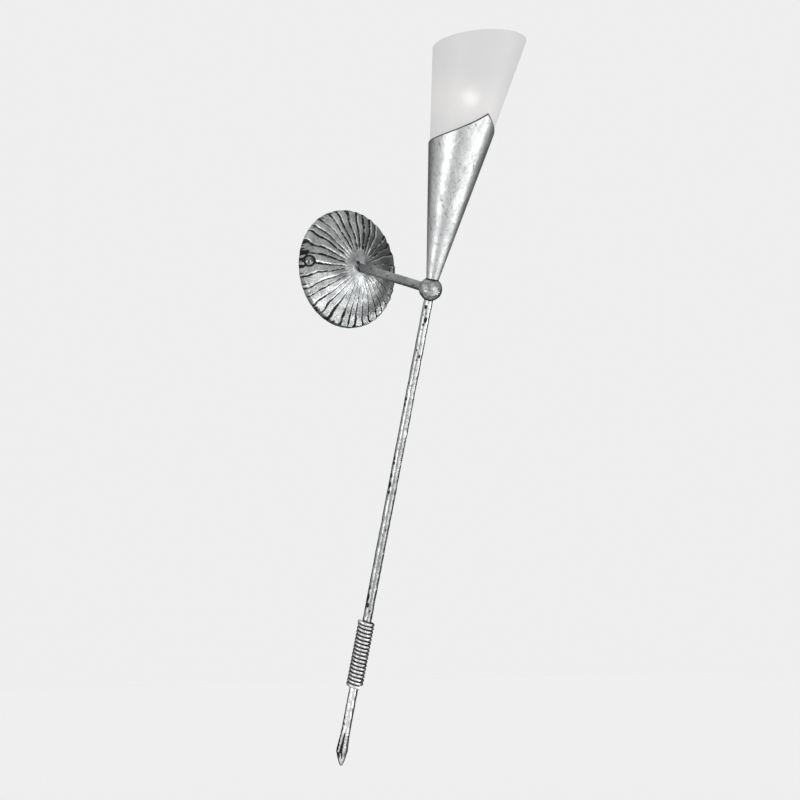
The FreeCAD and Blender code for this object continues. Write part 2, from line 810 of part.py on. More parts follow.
WIDE = ("-far", "far")
arm_outside = cylinder("arm_outside", "arm_radius", "tube_seat", "arm_foot + washer_radius", "arm")
wall_side = block("wall_side_of_boss", WIDE, ("-boss_height", "far"), WIDE, "world")
arm_shaft = cut("arm_shaft", arm_outside, [wall_side])
arm_threads = cylinder("arm_threads", "arm_spigot", "tube_inner_end", "arm_end", "arm")
arm_hollow = cylinder("arm_hollow", "arm_bore", "0", "arm_end + overshoot", "arm")
node(cut("arm", fuse("arm_solid", [arm_shaft, arm_threads]), [arm_hollow]), "arm_tube")

washer_bar = tube("washer_bar", "washer_radius", "arm_spigot + hole_gap", "arm_foot - washer_radius",
                  "arm_nut_seat", "arm")
room_side = block("room_side_of_boss", WIDE, ("-far", "-boss_back"), WIDE, "world")
node(cut("washer", washer_bar, [room_side]), "arm_washer")

node(
    cut("arm_nut_piece",
        hexagon("arm_nut_hex", "arm_nut_flats", "arm_nut_seat", "arm_nut_seat + arm_nut_height", "arm"),
        [cylinder("arm_nut_thread", "arm_spigot + thread_gap", "arm_nut_seat - overshoot",
                  "arm_nut_seat + arm_nut_height + overshoot", "arm")]),
    "arm_nut",
)


# ------------------------------------------------------------------------ ball

# The rod leaves downwards, so its flat and its hole have negative heights.
ball_tools = [
    block("ball_top_flat", WIDE, WIDE, ("cone_seat", "far"), "torch"),
    block("ball_rod_flat", WIDE, WIDE, ("-far", "-tube_seat"), "torch"),
    block("ball_arm_flat", WIDE, WIDE, ("tube_seat", "far"), "arm"),
    cylinder("ball_stem_hole", "stem_radius + thread_gap", "0", "ball_radius", "torch"),
    cylinder("ball_rod_hole", "rod_bore + thread_gap", "-ball_radius", "0", "torch"),
    cylinder("ball_arm_hole", "arm_spigot + thread_gap", "0", "ball_radius", "arm"),
    sphere("ball_hollow", "ball_cavity", "torch"),
]
node(cut("ball_piece", sphere("ball_solid", "ball_radius", "torch"), ball_tools), "ball_joint")


# ---------------------------------------------------------------- rod and stud

node(tube("rod", "rod_radius", "rod_bore + thread_gap", "-rod_end", "-tube_seat", "torch"), "torch_rod")
node(
    cylinder("stud", "rod_bore", "-tube_inner_end - stud_length", "-tube_inner_end", "torch"),
    "rod_stud",
)


# --------------------------------------------------------------- wire winding

STRAIGHT = 1e-7                     # an arc flatter than this is a straight line


def arc_from_tangent(start, tangent, end):
    """The arc that leaves start along tangent and ends at end."""
    chord = end - start
    side = chord - tangent * chord.dot(tangent)
    if side.Length < STRAIGHT:
        return Part.makeLine(start, end)
    side.normalize()
    radius = chord.dot(chord) / (2 * chord.dot(side))
    centre = start + side * radius
    outward = (start - centre) + (end - centre)
    outward.normalize()
    return Part.Arc(start, centre + outward * radius, end).toShape()


def biarc(start, start_tangent, end, end_tangent):
    """Two arcs that join two points with the tangents given there."""
    chord = end - start
    square = 2 * (1 - start_tangent.dot(end_tangent))
    linear = 2 * chord.dot(start_tangent + end_tangent)
    reach = (math.sqrt(linear**2 + 4 * square * chord.dot(chord)) - linear) / (2 * square)
    middle = (start + start_tangent * reach + end - end_tangent * reach) * 0.5
    first = arc_from_tangent(start, start_tangent, middle)
    back = arc_from_tangent(end, end_tangent * -1, middle)
    return [first, back]


def winding_path():
    """The wire's middle line: a helix of quarter-turn biarcs with a straight end each."""
    radius = size("turn_radius")
    rise = size("winding_pitch") / (2 * math.pi)
    turns = int(size("winding_turns"))
    low_end = -size("winding_reach") - turns * size("winding_pitch")
    begin = math.radians(size("winding_start"))
    points = []
    for quarter in range(turns * 4 + 1):
        turned = quarter * math.pi / 2
        angle = begin + turned
        around = Vector(math.cos(angle), math.sin(angle), 0)
        along = Vector(-math.sin(angle) * radius, math.cos(angle) * radius, rise)
        points.append((around * radius + Vector(0, 0, low_end + rise * turned), along.normalize()))
    straight = size("winding_wire")
    first_point, first_tangent = points[0]
    last_point, last_tangent = points[-1]
    edges = [Part.makeLine(first_point - first_tangent * straight, first_point)]
    for (start, start_tangent), (end, end_tangent) in zip(points, points[1:]):
        edges += biarc(start, start_tangent, end, end_tangent)
    edges.append(Part.makeLine(last_point, last_point + last_tangent * straight))
    return Part.Wire(edges), first_point - first_tangent * straight, first_tangent


def round_wire(path, start, direction, radius):
    """A solid wire of one radius along a path."""
    section = Part.Wire(Part.makeCircle(radius, start, direction))
    return path.makePipeShell([section], True, False)


def least_gap(path, diameter, turn_length):
    """The smallest gap between parts of the wire that are over half a turn apart."""
    count = int(path.Length / size("wire_radius"))
    points = path.discretize(count)
    apart = int(turn_length / 2 / path.Length * count)
    nearest = min(
        (points[first] - points[second]).Length
        for first in range(count)
        for second in range(first + apart, min(first + 3 * apart, count))
    )
    return nearest - diameter


path, wire_start, wire_direction = winding_path()
winding_shape = round_wire(path, wire_start, wire_direction, size("winding_wire") / 2)
gap = least_gap(path, size("winding_wire"), 2 * math.pi * size("turn_radius"))
print(f"wire winding: least gap to itself {gap:.2f} mm")
winding = shaped("winding", winding_shape)
winding.Placement = frame_placement("torch")
node(winding, "wire_winding")


# ---------------------------------------------------------------- forged point

def oval(half_width, half_depth, height, aside=0):
    """An oval section of the point, wide across the torch."""
    if half_width == half_depth:
        edge = Part.makeCircle(half_depth)
    else:
        edge = Part.Ellipse(Vector(0, 0, 0), half_width, half_depth).toShape()
    edge.translate(Vector(aside, 0, height))
    return Part.Wire(edge)


def forged_point():
    """The flattened end of the rod, folded at the front and drawn to a point."""
    top = -size("rod_end")
    wide = -size("point_wide")
    tip = -size("point_tip")
    width = size("point_half_width")
    depth = size("point_half_depth")
    tip_width = size("point_tip_half_width")
    tip_depth = size("point_tip_half_depth")
    rod = size("rod_radius")
    swell = Part.makeLoft([oval(rod, rod, top), oval(width, depth, wide)], True, False)
    end = oval(tip_width, tip_depth, tip, size("point_tip_aside"))
    nib = Part.makeLoft([oval(width, depth, wide), end], True, False)
    low = wide - size("point_fold_length")
    high = top - size("point_fold")
    fold = size("point_fold")
    front = -rod - fold
    corners = [Vector(-fold, front, low), Vector(fold, front, low), Vector(0, fold - depth, low)]
    section = Part.Face(Part.makePolygon(corners + corners[:1]))
    groove = section.extrude(Vector(0, 0, high - low))
    for piece in (swell, nib, groove):
        piece.rotate(Vector(0, 0, 0), Vector(0, 0, 1), size("point_turn"))
    spigot = Part.makeCylinder(size("rod_bore"), size("point_spigot"), Vector(0, 0, top))
    return swell.fuse([nib, spigot]).cut(groove).removeSplitter()


point = shaped("point", forged_point())
point.Placement = frame_placement("torch")
node(point, "spear_point")


# ----------------------------------------------------------- rolled sheet cone

def cone_edge(inset, angles):
    """Points of the cone's upper edge, as rolled from a flat sheet with two straight cuts."""
    half_angle = math.radians(size("cone_angle"))
    apex = size("cone_apex")
    cut_angle = math.radians(size("cone_cut_angle"))
    peak_reach = size("cone_peak") - apex
    points = []
    for angle in angles:
        unrolled = cut_angle - angle * math.sin(half_angle)
        reach = peak_reach * math.cos(cut_angle) / math.cos(unrolled)
        radius = reach * math.tan(half_angle) - inset
        points.append(Vector(radius * math.sin(angle), -radius * math.cos(angle), apex + reach))
    return points


def cone_foot(inset, angles):
    """Points of the cone's lower edge, on the flat of the ball."""
    radius = size("cone_foot_radius") - inset
    height = size("cone_seat")
    return [Vector(radius * math.sin(angle), -radius * math.cos(angle), height) for angle in angles]


def curve_through(points):
    """A smooth edge through points that are evenly spaced round the cone."""
    curve = Part.BSplineCurve()
    curve.interpolate(Points=points, Parameters=[float(number) for number in range(len(points))])
    return curve.toShape()


CONE_STEPS = 12                     # points on each half of the cone's edges


def rolled_cone():
    """The sheet: inner and outer skins and two thin edges, for each half of the cone."""
    thickness = size("sheet_across")
    faces = []
    for side in (1, -1):
        angles = [side * math.pi * step / CONE_STEPS for step in range(CONE_STEPS + 1)]
        spread = [abs(angle) for angle in angles]
        edges = {}
        for skin, inset in (("outer", 0.0), ("inner", thickness)):
            upper = [Vector(side * spot.x, spot.y, spot.z) for spot in cone_edge(inset, spread)]
            edges[skin + "_upper"] = curve_through(upper)
            edges[skin + "_lower"] = curve_through(cone_foot(inset, angles))
        for first, second in (("outer_lower", "outer_upper"), ("inner_lower", "inner_upper"),
                              ("outer_upper", "inner_upper"), ("outer_lower", "inner_lower")):
            pair = [Part.Wire(edges[first]), Part.Wire(edges[second])]
            faces += Part.makeLoft(pair, False, True).Faces
    shell = Part.makeShell(faces)
    shell.sewShape()
    solid = Part.makeSolid(Part.Shell(shell.Faces))
    if solid.Volume < 0:
        solid.reverse()
    return solid


torch_cone = shaped("rolled_cone", rolled_cone())
torch_cone.Placement = frame_placement("torch")
node(torch_cone, "torch_cone")


# -------------------------------------------------------- stem, disc and nuts

node(tube("stem", "stem_radius", "stem_bore", "tube_inner_end", "stem_end", "torch"), "lamp_stem")
node(tube("disc", "disc_radius", "stem_radius + thread_gap", "disc_height", "disc_top", "torch"),
     "clamp_disc")


def stem_nut(name, low):
    """A nut on the stem, standing on the height given."""
    high = f"{low} + stem_nut_height"
    hole = cylinder(name + "_thread", "stem_radius + thread_gap", f"{low} - overshoot",
                    f"{high} + overshoot", "torch")
    return cut(name, hexagon(name + "_hex", "stem_nut_flats", low, high, "torch"), [hole])


node(stem_nut("cone_nut_piece", "disc_top"), "cone_nut")
PLATE_TOP = "plate_height + plate_thickness"
holder_nuts = [stem_nut("lower_nut", "plate_height - stem_nut_height"), stem_nut("upper_nut", PLATE_TOP)]
node(group("holder_nut_pair", holder_nuts), "holder_nuts")


# ------------------------------------------------------- lampholder and bracket

LEG_OUTER = "leg_spread + plate_thickness"
FOOT_END = "leg_spread + foot_length"


def hat_half(side):
    """Corners of one half of the bracket: plate, leg and foot."""
    return [
        (f"{side} * ({LEG_OUTER})", "plate_height"),
        (f"{side} * ({LEG_OUTER})", "leg_top - plate_thickness"),
        (f"{side} * ({FOOT_END})", "leg_top - plate_thickness"),
        (f"{side} * ({FOOT_END})", "leg_top"),
        (f"{side} * leg_spread", "leg_top"),
        (f"{side} * leg_spread", PLATE_TOP),
    ]


hat = pad_body("hat_plate", hat_half(1) + list(reversed(hat_half(-1))), "plate_width", "torch")


def holder_screw_bars(label, radius, low, high):
    return [
        cylinder(f"{label}_{side + 1}", radius, low, high, "torch", x=f"{side} * holder_screw_spot")
        for side in (-1, 1)
    ]


hat_tools = holder_screw_bars("hat_thread", "holder_screw_radius + thread_gap", "plate_height",
                              "leg_top + overshoot")
hat_tools.append(cylinder("hat_hole", "stem_radius + hole_gap", "plate_height - overshoot",
                          PLATE_TOP + " + overshoot", "torch"))
node(cut("hat", hat, hat_tools), "holder_bracket")

EAR_TOP = "leg_top + holder_ear_thickness"


def pin_bars(label, radius, low, high):
    """A round bar on the axis of each bulb pin."""
    return [
        cylinder(f"{label}_{side + 1}", radius, low, high, "torch", x=f"{side} * pin_spacing / 2")
        for side in (-1, 1)
    ]


holder_solid = fuse("holder_solid", [
    cylinder("holder_round", "holder_radius", "holder_base", "holder_top", "torch"),
    block("holder_ears", ("-holder_ear_half", "holder_ear_half"),
          ("-holder_ear_width / 2", "holder_ear_width / 2"), ("leg_top", EAR_TOP), "torch"),
])
holder_tools = (
    pin_bars("pin_mouth", "pin_radius + slide_gap", "contact_top", "holder_top + overshoot")
    + pin_bars("contact_space", "contact_radius + thread_gap", "holder_base - overshoot", "contact_top")
    + holder_screw_bars("ear_hole", "holder_screw_radius + hole_gap", "leg_top - overshoot",
                        EAR_TOP + " + overshoot")
)
node(cut("holder", holder_solid, holder_tools), "lampholder")

CONTACT_LOW = "contact_top - contact_length"
contact_shells = pin_bars("contact_shell", "contact_radius", CONTACT_LOW, "contact_top")
contact_tails = pin_bars("contact_tail_bar", "contact_tail", "holder_base + wire_start", CONTACT_LOW)
contact_floors = pin_bars("contact_end", "contact_radius", CONTACT_LOW + " - contact_floor", CONTACT_LOW)
contact_bars = [
    fuse(f"contact_{number}", pieces)
    for number, pieces in enumerate(zip(contact_shells, contact_floors, contact_tails))
]
contact_bores = pin_bars("contact_bore", "pin_radius + pin_gap", CONTACT_LOW, "contact_top + overshoot")
contact_pair = [
    cut(f"hollow_contact_{number}", bar, [bore])
    for number, (bar, bore) in enumerate(zip(contact_bars, contact_bores))
]
node(group("contact_pair", contact_pair), "holder_contacts")

holder_screws = [
    fuse(f"holder_screw_{number}", pieces)
    for number, pieces in enumerate(zip(
        holder_screw_bars("holder_shank", "holder_screw_radius", "leg_top - holder_screw_length", EAR_TOP),
        holder_screw_bars("holder_head", "holder_screw_head", EAR_TOP, EAR_TOP + " + holder_head_height"),
    ))
]
node(group("holder_screw_pair", holder_screws), "holder_screws")


# ------------------------------------------------------------------------ bulb

PIN_LOW = "seal_base - pin_length"
node(group("pin_pair", pin_bars("pin", "pin_radius", PIN_LOW, "seal_base + pin_depth")), "bulb_pins")

seal = block("seal", ("-seal_width / 2", "seal_width / 2"), ("-seal_depth / 2", "seal_depth / 2"),
             ("seal_base", "envelope_base + envelope_wall"), "torch")
envelope_solid = fuse("envelope_solid", [
    seal,
    cylinder("envelope_round", "envelope_radius", "envelope_base", "envelope_top", "torch"),
    sphere("envelope_dome", "envelope_radius", "torch", z="envelope_top"),
])
INNER_RADIUS = "envelope_radius - envelope_wall"
envelope_space = fuse("envelope_space", [
    cylinder("envelope_bore", INNER_RADIUS, "envelope_floor", "envelope_top", "torch"),
    sphere("envelope_inner_dome", INNER_RADIUS, "torch", z="envelope_top"),
])
pin_spaces = pin_bars("pin_space", "pin_radius", PIN_LOW, "seal_base + pin_depth")
node(cut("capsule", envelope_solid, [envelope_space] + pin_spaces), "bulb_capsule")

FILAMENT_LEAD = "pin_spacing / 2 - filament_inset"
filament_leads = [
    cylinder(f"filament_lead_{side + 1}", "lead_radius", "envelope_floor",
             "filament_height", "torch", x=f"{side} * ({FILAMENT_LEAD})")
    for side in (-1, 1)
]
filament_coil = bar_along_x("filament_coil", "filament_radius", f"-({FILAMENT_LEAD})", FILAMENT_LEAD,
                            "torch", "0", "filament_height")
node(fuse("filament", [filament_coil] + filament_leads), "bulb_filament")


# ----------------------------------------------------------------------- glass

GLASS_REACH = "(glass_height + glass_rim_radius)"


def glass_radius(inset):
    """The glass's radius at its foot and, run on, above its rim."""
    foot = f"glass_foot_radius - ({inset})"
    return foot, f"{foot} + ({GLASS_REACH} - glass_foot) * tan(glass_angle)"


outer_low, outer_high = glass_radius("0")
inner_low, inner_high = glass_radius("glass_wall")
glass_outside = taper("glass_outside", outer_low, outer_high, "glass_foot", GLASS_REACH, "torch")
glass_inside = taper("glass_inside", inner_low, inner_high, "glass_foot", GLASS_REACH, "torch")
above_rim = doc.addObject("Part::Box", "above_rim")
bind(above_rim, Length="2 * far", Width="2 * far", Height="far")
above_rim.Placement = FreeCAD.Placement(Vector(0, 0, 0), FreeCAD.Rotation(X_AXIS, 5))
above_rim.setExpression("Placement.Rotation.Angle", formula("tilt - glass_rim_tilt"))
place_base(above_rim, "torch", x="-far", y="-far * cos(glass_rim_tilt)",
           z="glass_height + far * sin(glass_rim_tilt)")
node(cut("glass", cut("glass_cone", glass_outside, [glass_inside]), [above_rim]), "glass_shade")


# ----------------------------------------------------------------------- wires

def rounded_path(points, radius):
    """Straight runs between points, with an arc of one radius at each corner."""
    edges = []
    start = points[0]
    for before, corner, after in zip(points, points[1:], points[2:]):
        into = (corner - before).normalize()
        away = (after - corner).normalize()
        turn = into.getAngle(away)
        back = radius * math.tan(turn / 2)
        arc_start = corner - into * back
        arc_end = corner + away * back
        edges.append(Part.makeLine(start, arc_start))
        edges.append(arc_from_tangent(arc_start, into, arc_end))
        start = arc_end
    edges.append(Part.makeLine(start, points[-1]))
    return Part.Wire(edges)


def lamp_wire(side, pole):
    """A wire from a contact of the lampholder to a pole of the terminal block.

    It has small bends at the lampholder, one wider bend in the ball and small
    bends again at the terminal block.
    """
    inside = side * size("wire_spread")
    pin = side * size("pin_spacing") / 2
    bend = size("wire_bend")
    mouth = size("stem_end") + size("wire_mouth")
    turn = size("stem_end") + size("wire_turn_reach")
    row = pole * size("pole_spacing")
    level = size("pole_level")
    block_left = size("block_left")
    stem_spot = put("torch", inside, 0, 4 * bend)
    arm_spot = put("arm", inside, 0, 4 * bend)
    top = [put("torch", pin, 0, size("holder_base") + size("wire_start")),
           put("torch", pin, 0, turn), put("torch", inside, 0, mouth), stem_spot]
    end = [arm_spot, put("arm", inside, 0, size("arm_end") + size("wire_past_arm")),
           put("strap", block_left - size("wire_before_block"), row, level),
           put("strap", block_left + size("wire_in_block"), row, level)]
    runs = [
        rounded_path(top, size("wire_small_bend")),
        rounded_path([stem_spot, put("torch", inside, 0, 0), arm_spot], bend),
        rounded_path(end, size("wire_block_bend")),
    ]
    path = Part.Wire([edge for run in runs for edge in run.Edges])
    return round_wire(path, top[0], (top[1] - top[0]).normalize(), size("wire_radius"))


node(shaped("live", lamp_wire(1, 0)), "live_wire")
node(shaped("neutral", lamp_wire(-1, 1)), "neutral_wire")


def earth_wire():
    """The wire from the earth tag to the lowest pole."""
    low = size("strap_thickness") + size("tag_barrel_radius")
    tag_end = size("earth_x") + size("tag_length")
    row = -size("pole_spacing")
    level = size("pole_level")
    floor = size("earth_x") + size("tag_radius") + size("tag_step") + size("tag_floor")
    block_left = size("block_left")
    points = [
        put("strap", floor + size("hole_gap"), size("earth_y"), low),
        put("strap", tag_end + size("wire_past_tag"), size("earth_y"), low),
        put("strap", block_left - size("wire_before_block"), row, level),
        put("strap", block_left + size("wire_in_block"), row, level),
    ]
    path = rounded_path(points, size("earth_bend"))
    return round_wire(path, points[0], (points[1] - points[0]).normalize(), size("wire_radius"))


node(shaped("earth", earth_wire()), "earth_wire")


# ---------------------------------------------------------------------- export

doc.recompute()
for obj in doc.Objects:
    if "Invalid" in obj.State or "Error" in obj.State:
        raise RuntimeError(f"{obj.Name} did not build: {obj.State}")

os.makedirs("parts", exist_ok=True)
for obj in NODES:
    if obj.Shape.isNull() or not obj.Shape.isValid():
        raise RuntimeError(f"{obj.Label} has no valid shape")
    obj.Shape.exportStep(f"parts/{obj.Label}.step")
    print(f"{obj.Label}: {obj.Shape.Volume:.0f} mm3 in {len(obj.Shape.Solids)} solids")
print(f"{len(NODES)} sub-parts")
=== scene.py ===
# %% [markdown]
# # A wall torch in silver leaf
# The real lamp is a frosted glass in a rolled metal cone. The cone stands on a ball,
# and a long rod hangs below it, with a wire winding and a forged point. An arm holds
# the ball off a fluted round rosette on the wall. The imported solids stand at their real
# places, so the script loads them first and then builds the hand-worked surfaces in
# their stead: silver leaf that is rubbed and chipped, with dark patina in the grooves,
# and with highlights and some shade painted into it.

import math

import bpy
from mathutils import Matrix, Vector, noise


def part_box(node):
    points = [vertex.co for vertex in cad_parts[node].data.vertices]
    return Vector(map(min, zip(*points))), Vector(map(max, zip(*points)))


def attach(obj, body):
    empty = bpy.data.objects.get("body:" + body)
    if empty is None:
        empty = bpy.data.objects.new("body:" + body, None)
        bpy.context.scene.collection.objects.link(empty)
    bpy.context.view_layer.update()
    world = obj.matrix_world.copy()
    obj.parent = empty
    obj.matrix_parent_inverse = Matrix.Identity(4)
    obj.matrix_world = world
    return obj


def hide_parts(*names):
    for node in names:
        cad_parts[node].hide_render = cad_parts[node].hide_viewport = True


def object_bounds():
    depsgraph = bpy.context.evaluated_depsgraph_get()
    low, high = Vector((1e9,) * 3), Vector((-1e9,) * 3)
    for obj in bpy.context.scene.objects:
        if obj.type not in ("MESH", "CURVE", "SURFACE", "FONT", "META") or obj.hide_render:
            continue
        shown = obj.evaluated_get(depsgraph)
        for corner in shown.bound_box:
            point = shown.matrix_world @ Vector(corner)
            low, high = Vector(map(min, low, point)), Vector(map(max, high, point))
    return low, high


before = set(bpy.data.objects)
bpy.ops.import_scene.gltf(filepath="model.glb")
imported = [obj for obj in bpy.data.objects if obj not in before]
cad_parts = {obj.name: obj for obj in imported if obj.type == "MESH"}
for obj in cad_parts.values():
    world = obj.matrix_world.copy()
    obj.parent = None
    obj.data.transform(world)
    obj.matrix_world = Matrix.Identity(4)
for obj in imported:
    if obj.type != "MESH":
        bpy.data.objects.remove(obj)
cad_low, cad_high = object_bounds()
print("solids:", len(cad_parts), "from", list(cad_low), "to", list(cad_high))

# %% [markdown]
# ## Where things are
# Pieces are drawn in millimetres in simple frames of their own: the torch's frame has
# Z up along the torch, the arm's has Z along the arm, the rosette's has Z out of the
# wall. One matrix for each takes a finished mesh into the shared frame, in metres.

# %% The stance of the torch
MM = 0.001
TILT = math.radians(17.05)
BALL = Vector((0, -144.5, -40.5))
ROSETTE_DROP = 3

FRAMES = {
    "torch": Matrix.Translation(BALL) @ Matrix.Rotation(TILT, 4, "X"),
    "arm": Matrix.Translation(BALL) @ Matrix.Rotation(TILT - math.pi / 2, 4, "X"),
    "rosette": Matrix.Translation((0, 0, -ROSETTE_DROP)) @ Matrix.Rotation(math.pi / 2, 4, "X"),
}


def world_place(frame_name, x, y, z):
    """A place given in millimetres in one of the frames, in the shared frame in metres."""
    return FRAMES[frame_name] @ Vector((x, y, z)) * MM


print("ball at", list(world_place("torch", 0, 0, 0)))

# %% [markdown]
# ## Wiring nodes as sums
# Materials and Geometry Nodes are graphs. Writing them node by node hides the idea,
# so one small class stands for a socket: adding or multiplying two of them adds the
# Math node that does it. A second class makes any other node from its type, its
# settings and its inputs. The same two classes serve shaders and geometry.

# %% A socket that takes part in sums
class Wire:
    """An output socket of a graph. Sums and products of wires add Math nodes."""

    def __init__(self, graph, socket):
        self.graph = graph
        self.socket = socket

    def __getitem__(self, name):
        return Wire(self.graph, self.socket.node.outputs[name])

    def __add__(self, other):
        return self.graph.math("ADD", self, other)

    def __radd__(self, other):
        return self.graph.math("ADD", other, self)

    def __sub__(self, other):
        return self.graph.math("SUBTRACT", self, other)

    def __rsub__(self, other):
        return self.graph.math("SUBTRACT", other, self)

    def __mul__(self, other):
        return self.graph.math("MULTIPLY", self, other)

    def __rmul__(self, other):
        return self.graph.math("MULTIPLY", other, self)

    def __truediv__(self, other):
        return self.graph.math("DIVIDE", self, other)

    def __rtruediv__(self, other):
        return self.graph.math("DIVIDE", other, self)


# %% A graph that makes nodes
class Graph:
    """A node tree, and the few ways in which this script adds nodes to it."""

    def __init__(self, tree):
        self.tree = tree

    def node(self, kind, settings=None, inputs=None, output=0):
        """A new node; its settings come first, then its sockets' values or wires."""
        made = self.tree.nodes.new(kind)
        for name, value in (settings or {}).items():
            setattr(made, name, value)
        for name, value in (inputs or {}).items():
            if isinstance(value, Wire):
                self.tree.links.new(value.socket, made.inputs[name])
            else:
                made.inputs[name].default_value = value
        if len(made.outputs) == 0:
            return made
        return Wire(self, made.outputs[output])

    def math(self, operation, *values):
        """One number from others."""
        return self.node("ShaderNodeMath", {"operation": operation}, dict(enumerate(values)))

    def vector(self, operation, *values):
        """A vector, or a number that is worked out from vectors."""
        return self.node("ShaderNodeVectorMath", {"operation": operation}, dict(enumerate(values)))

    def point(self, x=0.0, y=0.0, z=0.0):
        """A vector from three numbers."""
        return self.node("ShaderNodeCombineXYZ", None, {"X": x, "Y": y, "Z": z})

    def parts(self, vector):
        """The three numbers of a vector, as the outputs X, Y and Z."""
        return self.node("ShaderNodeSeparateXYZ", None, {"Vector": vector})

    def between(self, value, low, high):
        """0 below low and 1 above high, with a smooth step between them."""
        inputs = {"Value": value, "From Min": low, "From Max": high}
        return self.node("ShaderNodeMapRange", {"interpolation_type": "SMOOTHSTEP"}, inputs)

    def blend(self, mask, first, second):
        """A colour that goes from the first to the second as the mask goes from 0 to 1."""
        colours = {0: mask, 6: first, 7: second}
        return self.node("ShaderNodeMix", {"data_type": "RGBA"}, colours, output=2)

    def noise(self, place, scale, detail=2.0, roughness=0.5):
        """Cloudy noise round 0.5, with this many patterns to a unit of length."""
        inputs = {"Vector": place, "Scale": scale, "Detail": detail, "Roughness": roughness}
        return self.node("ShaderNodeTexNoise", None, inputs)


# %% [markdown]
# ## Making meshes
# Two helpers make every new piece. `skin` lays a net of quads over a rule that gives
# the place of each knot, for the tubes, the ball, the glass and the point. `grown` runs
# a Geometry Nodes tree, for what repeats or is pressed or rolled from sheet, and keeps
# its result as a plain mesh. After either, `settle` puts the place into the mesh and
# leaves the object at the origin, because the patterns read object coordinates.

# %% Settle a piece in the shared frame
SMOOTH_BELOW = math.radians(38)


def shown(name, data):
    """A new object in the scene with this mesh, lamp or camera."""
    made = bpy.data.objects.new(name, data)
    bpy.context.scene.collection.objects.link(made)
    return made


def settle(piece, frame_name, material, body="fixture"):
    """Move a piece's mesh from millimetres in a frame to the shared frame."""
    piece.data.transform(Matrix.Scale(MM, 4) @ FRAMES[frame_name])
    piece.data.materials.clear()
    piece.data.materials.append(material)
    piece.data.shade_smooth()
    piece.data.set_sharp_from_angle(angle=SMOOTH_BELOW)
    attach(piece, body)
    print(piece.name, "has", len(piece.data.polygons), "faces")


# %% A net of quads over a rule
def skin(name, rows, columns, rule, closed_rows=False, marks=None, painted_highlights=None):
    """A net whose knots the rule places; it closes round its columns.

    closed_rows joins the last row to the first, as on a tube with a wall. Otherwise
    the first and last rows get a cap. marks(row, column) says how worn a knot is, which
    on some pieces is painted shade, and the last rule says how strong a highlight is
    painted there, both from 0 to 1.
    """
    mesh = bpy.data.meshes.new(name)
    knots = [rule(row, column) for row in range(rows) for column in range(columns)]
    faces = []
    for row in range(rows if closed_rows else rows - 1):
        above = (row + 1) % rows
        for column in range(columns):
            beside = (column + 1) % columns
            faces.append((row * columns + column, row * columns + beside,
                          above * columns + beside, above * columns + column))
    if not closed_rows:
        faces.append(tuple(reversed(range(columns))))
        faces.append(tuple(range((rows - 1) * columns, rows * columns)))
    mesh.from_pydata(knots, [], faces)
    for label, level_at in (("wear_and_shade", marks), ("painted_highlight", painted_highlights)):
        if level_at:
            levels = [level_at(row, column) for row in range(rows) for column in range(columns)]
            mesh.attributes.new(label, "FLOAT", "POINT").data.foreach_set("value", levels)
    return shown(name, mesh)


# %% Trees of Geometry Nodes, and the mesh that one makes
def new_tree(name, sizes):
    """An empty Geometry Nodes tree with named inputs; returns its graph and wires."""
    tree = bpy.data.node_groups.new(name, "GeometryNodeTree")
    tree.interface.new_socket("Geometry", in_out="OUTPUT", socket_type="NodeSocketGeometry")
    for label, value in sizes.items():
        kind = "NodeSocketInt" if isinstance(value, int) else "NodeSocketFloat"
        tree.interface.new_socket(label, in_out="INPUT", socket_type=kind)
    graph = Graph(tree)
    entry = graph.node("NodeGroupInput")
    return graph, {label: entry[label] for label in sizes}


def moved(graph, geometry, place):
    """Geometry with its points set to new places."""
    inputs = {"Geometry": geometry, "Position": place}
    return graph.node("GeometryNodeSetPosition", None, inputs)


def stored(graph, geometry, name, value):
    """Geometry with one more named number on its points."""
    return graph.node("GeometryNodeStoreNamedAttribute", {"data_type": "FLOAT", "domain": "POINT"},
                      {"Geometry": geometry, "Name": name, "Value": value})


def flat_net(graph, columns, rows):
    """A net with this many knots, with its shares across and up as the outputs X and Y."""
    net = graph.node("GeometryNodeMeshGrid", None, {
        "Size X": 1.0, "Size Y": 1.0, "Vertices X": columns, "Vertices Y": rows})
    return net, graph.parts(net["UV Map"])


def end_tree(graph, geometry, material):
    """Finish a tree: real geometry, its material and the output."""
    real = graph.node("GeometryNodeRealizeInstances", None, {"Geometry": geometry})
    painted = graph.node("GeometryNodeSetMaterial", None, {"Geometry": real, "Material": material})
    graph.node("NodeGroupOutput", None, {"Geometry": painted})


def grown(name, graph, sizes, wall=None):
    """The mesh that a tree makes with these sizes, and with a wall if one is given."""
    carrier = shown(name + "_carrier", bpy.data.meshes.new(name + "_carrier"))
    modifier = carrier.modifiers.new("tree", "NODES")
    modifier.node_group = graph.tree
    for item in graph.tree.interface.items_tree:
        if item.in_out == "INPUT":
            modifier[item.identifier] = sizes[item.name]
    if wall:
        thick = carrier.modifiers.new("wall", "SOLIDIFY")
        thick.thickness = wall
        thick.offset = -1
    bpy.context.view_layer.update()
    evaluated = carrier.evaluated_get(bpy.context.evaluated_depsgraph_get())
    mesh = bpy.data.meshes.new_from_object(evaluated)
    mesh.name = name
    bpy.data.objects.remove(carrier)
    return shown(name, mesh)


# %% [markdown]
# ## Finishes
# Silver leaf is beaten metal laid over a dark ground and rubbed. It reflects softly,
# in patches, shows fine wrinkles where leaves overlap, and is missing in small chips,
# where the dark ground shows. One function makes it, and each piece gives the size of
# its own pattern and the level of its leaf; levels that differ between pieces are
# painted light and shade. A mesh may carry marks of wear, which add chips and patina
# there and, where they stand for shade, painted shade, and marks of painted highlight,
# which make the leaf bright.

# %% A blank finish, and how one ends
def new_finish(name):
    """An empty material, its graph and the object's own coordinates."""
    material = bpy.data.materials.new(name)
    material.use_nodes = True
    material.node_tree.nodes.clear()
    graph = Graph(material.node_tree)
    place = graph.node("ShaderNodeTexCoord", output="Object")
    return material, graph, place


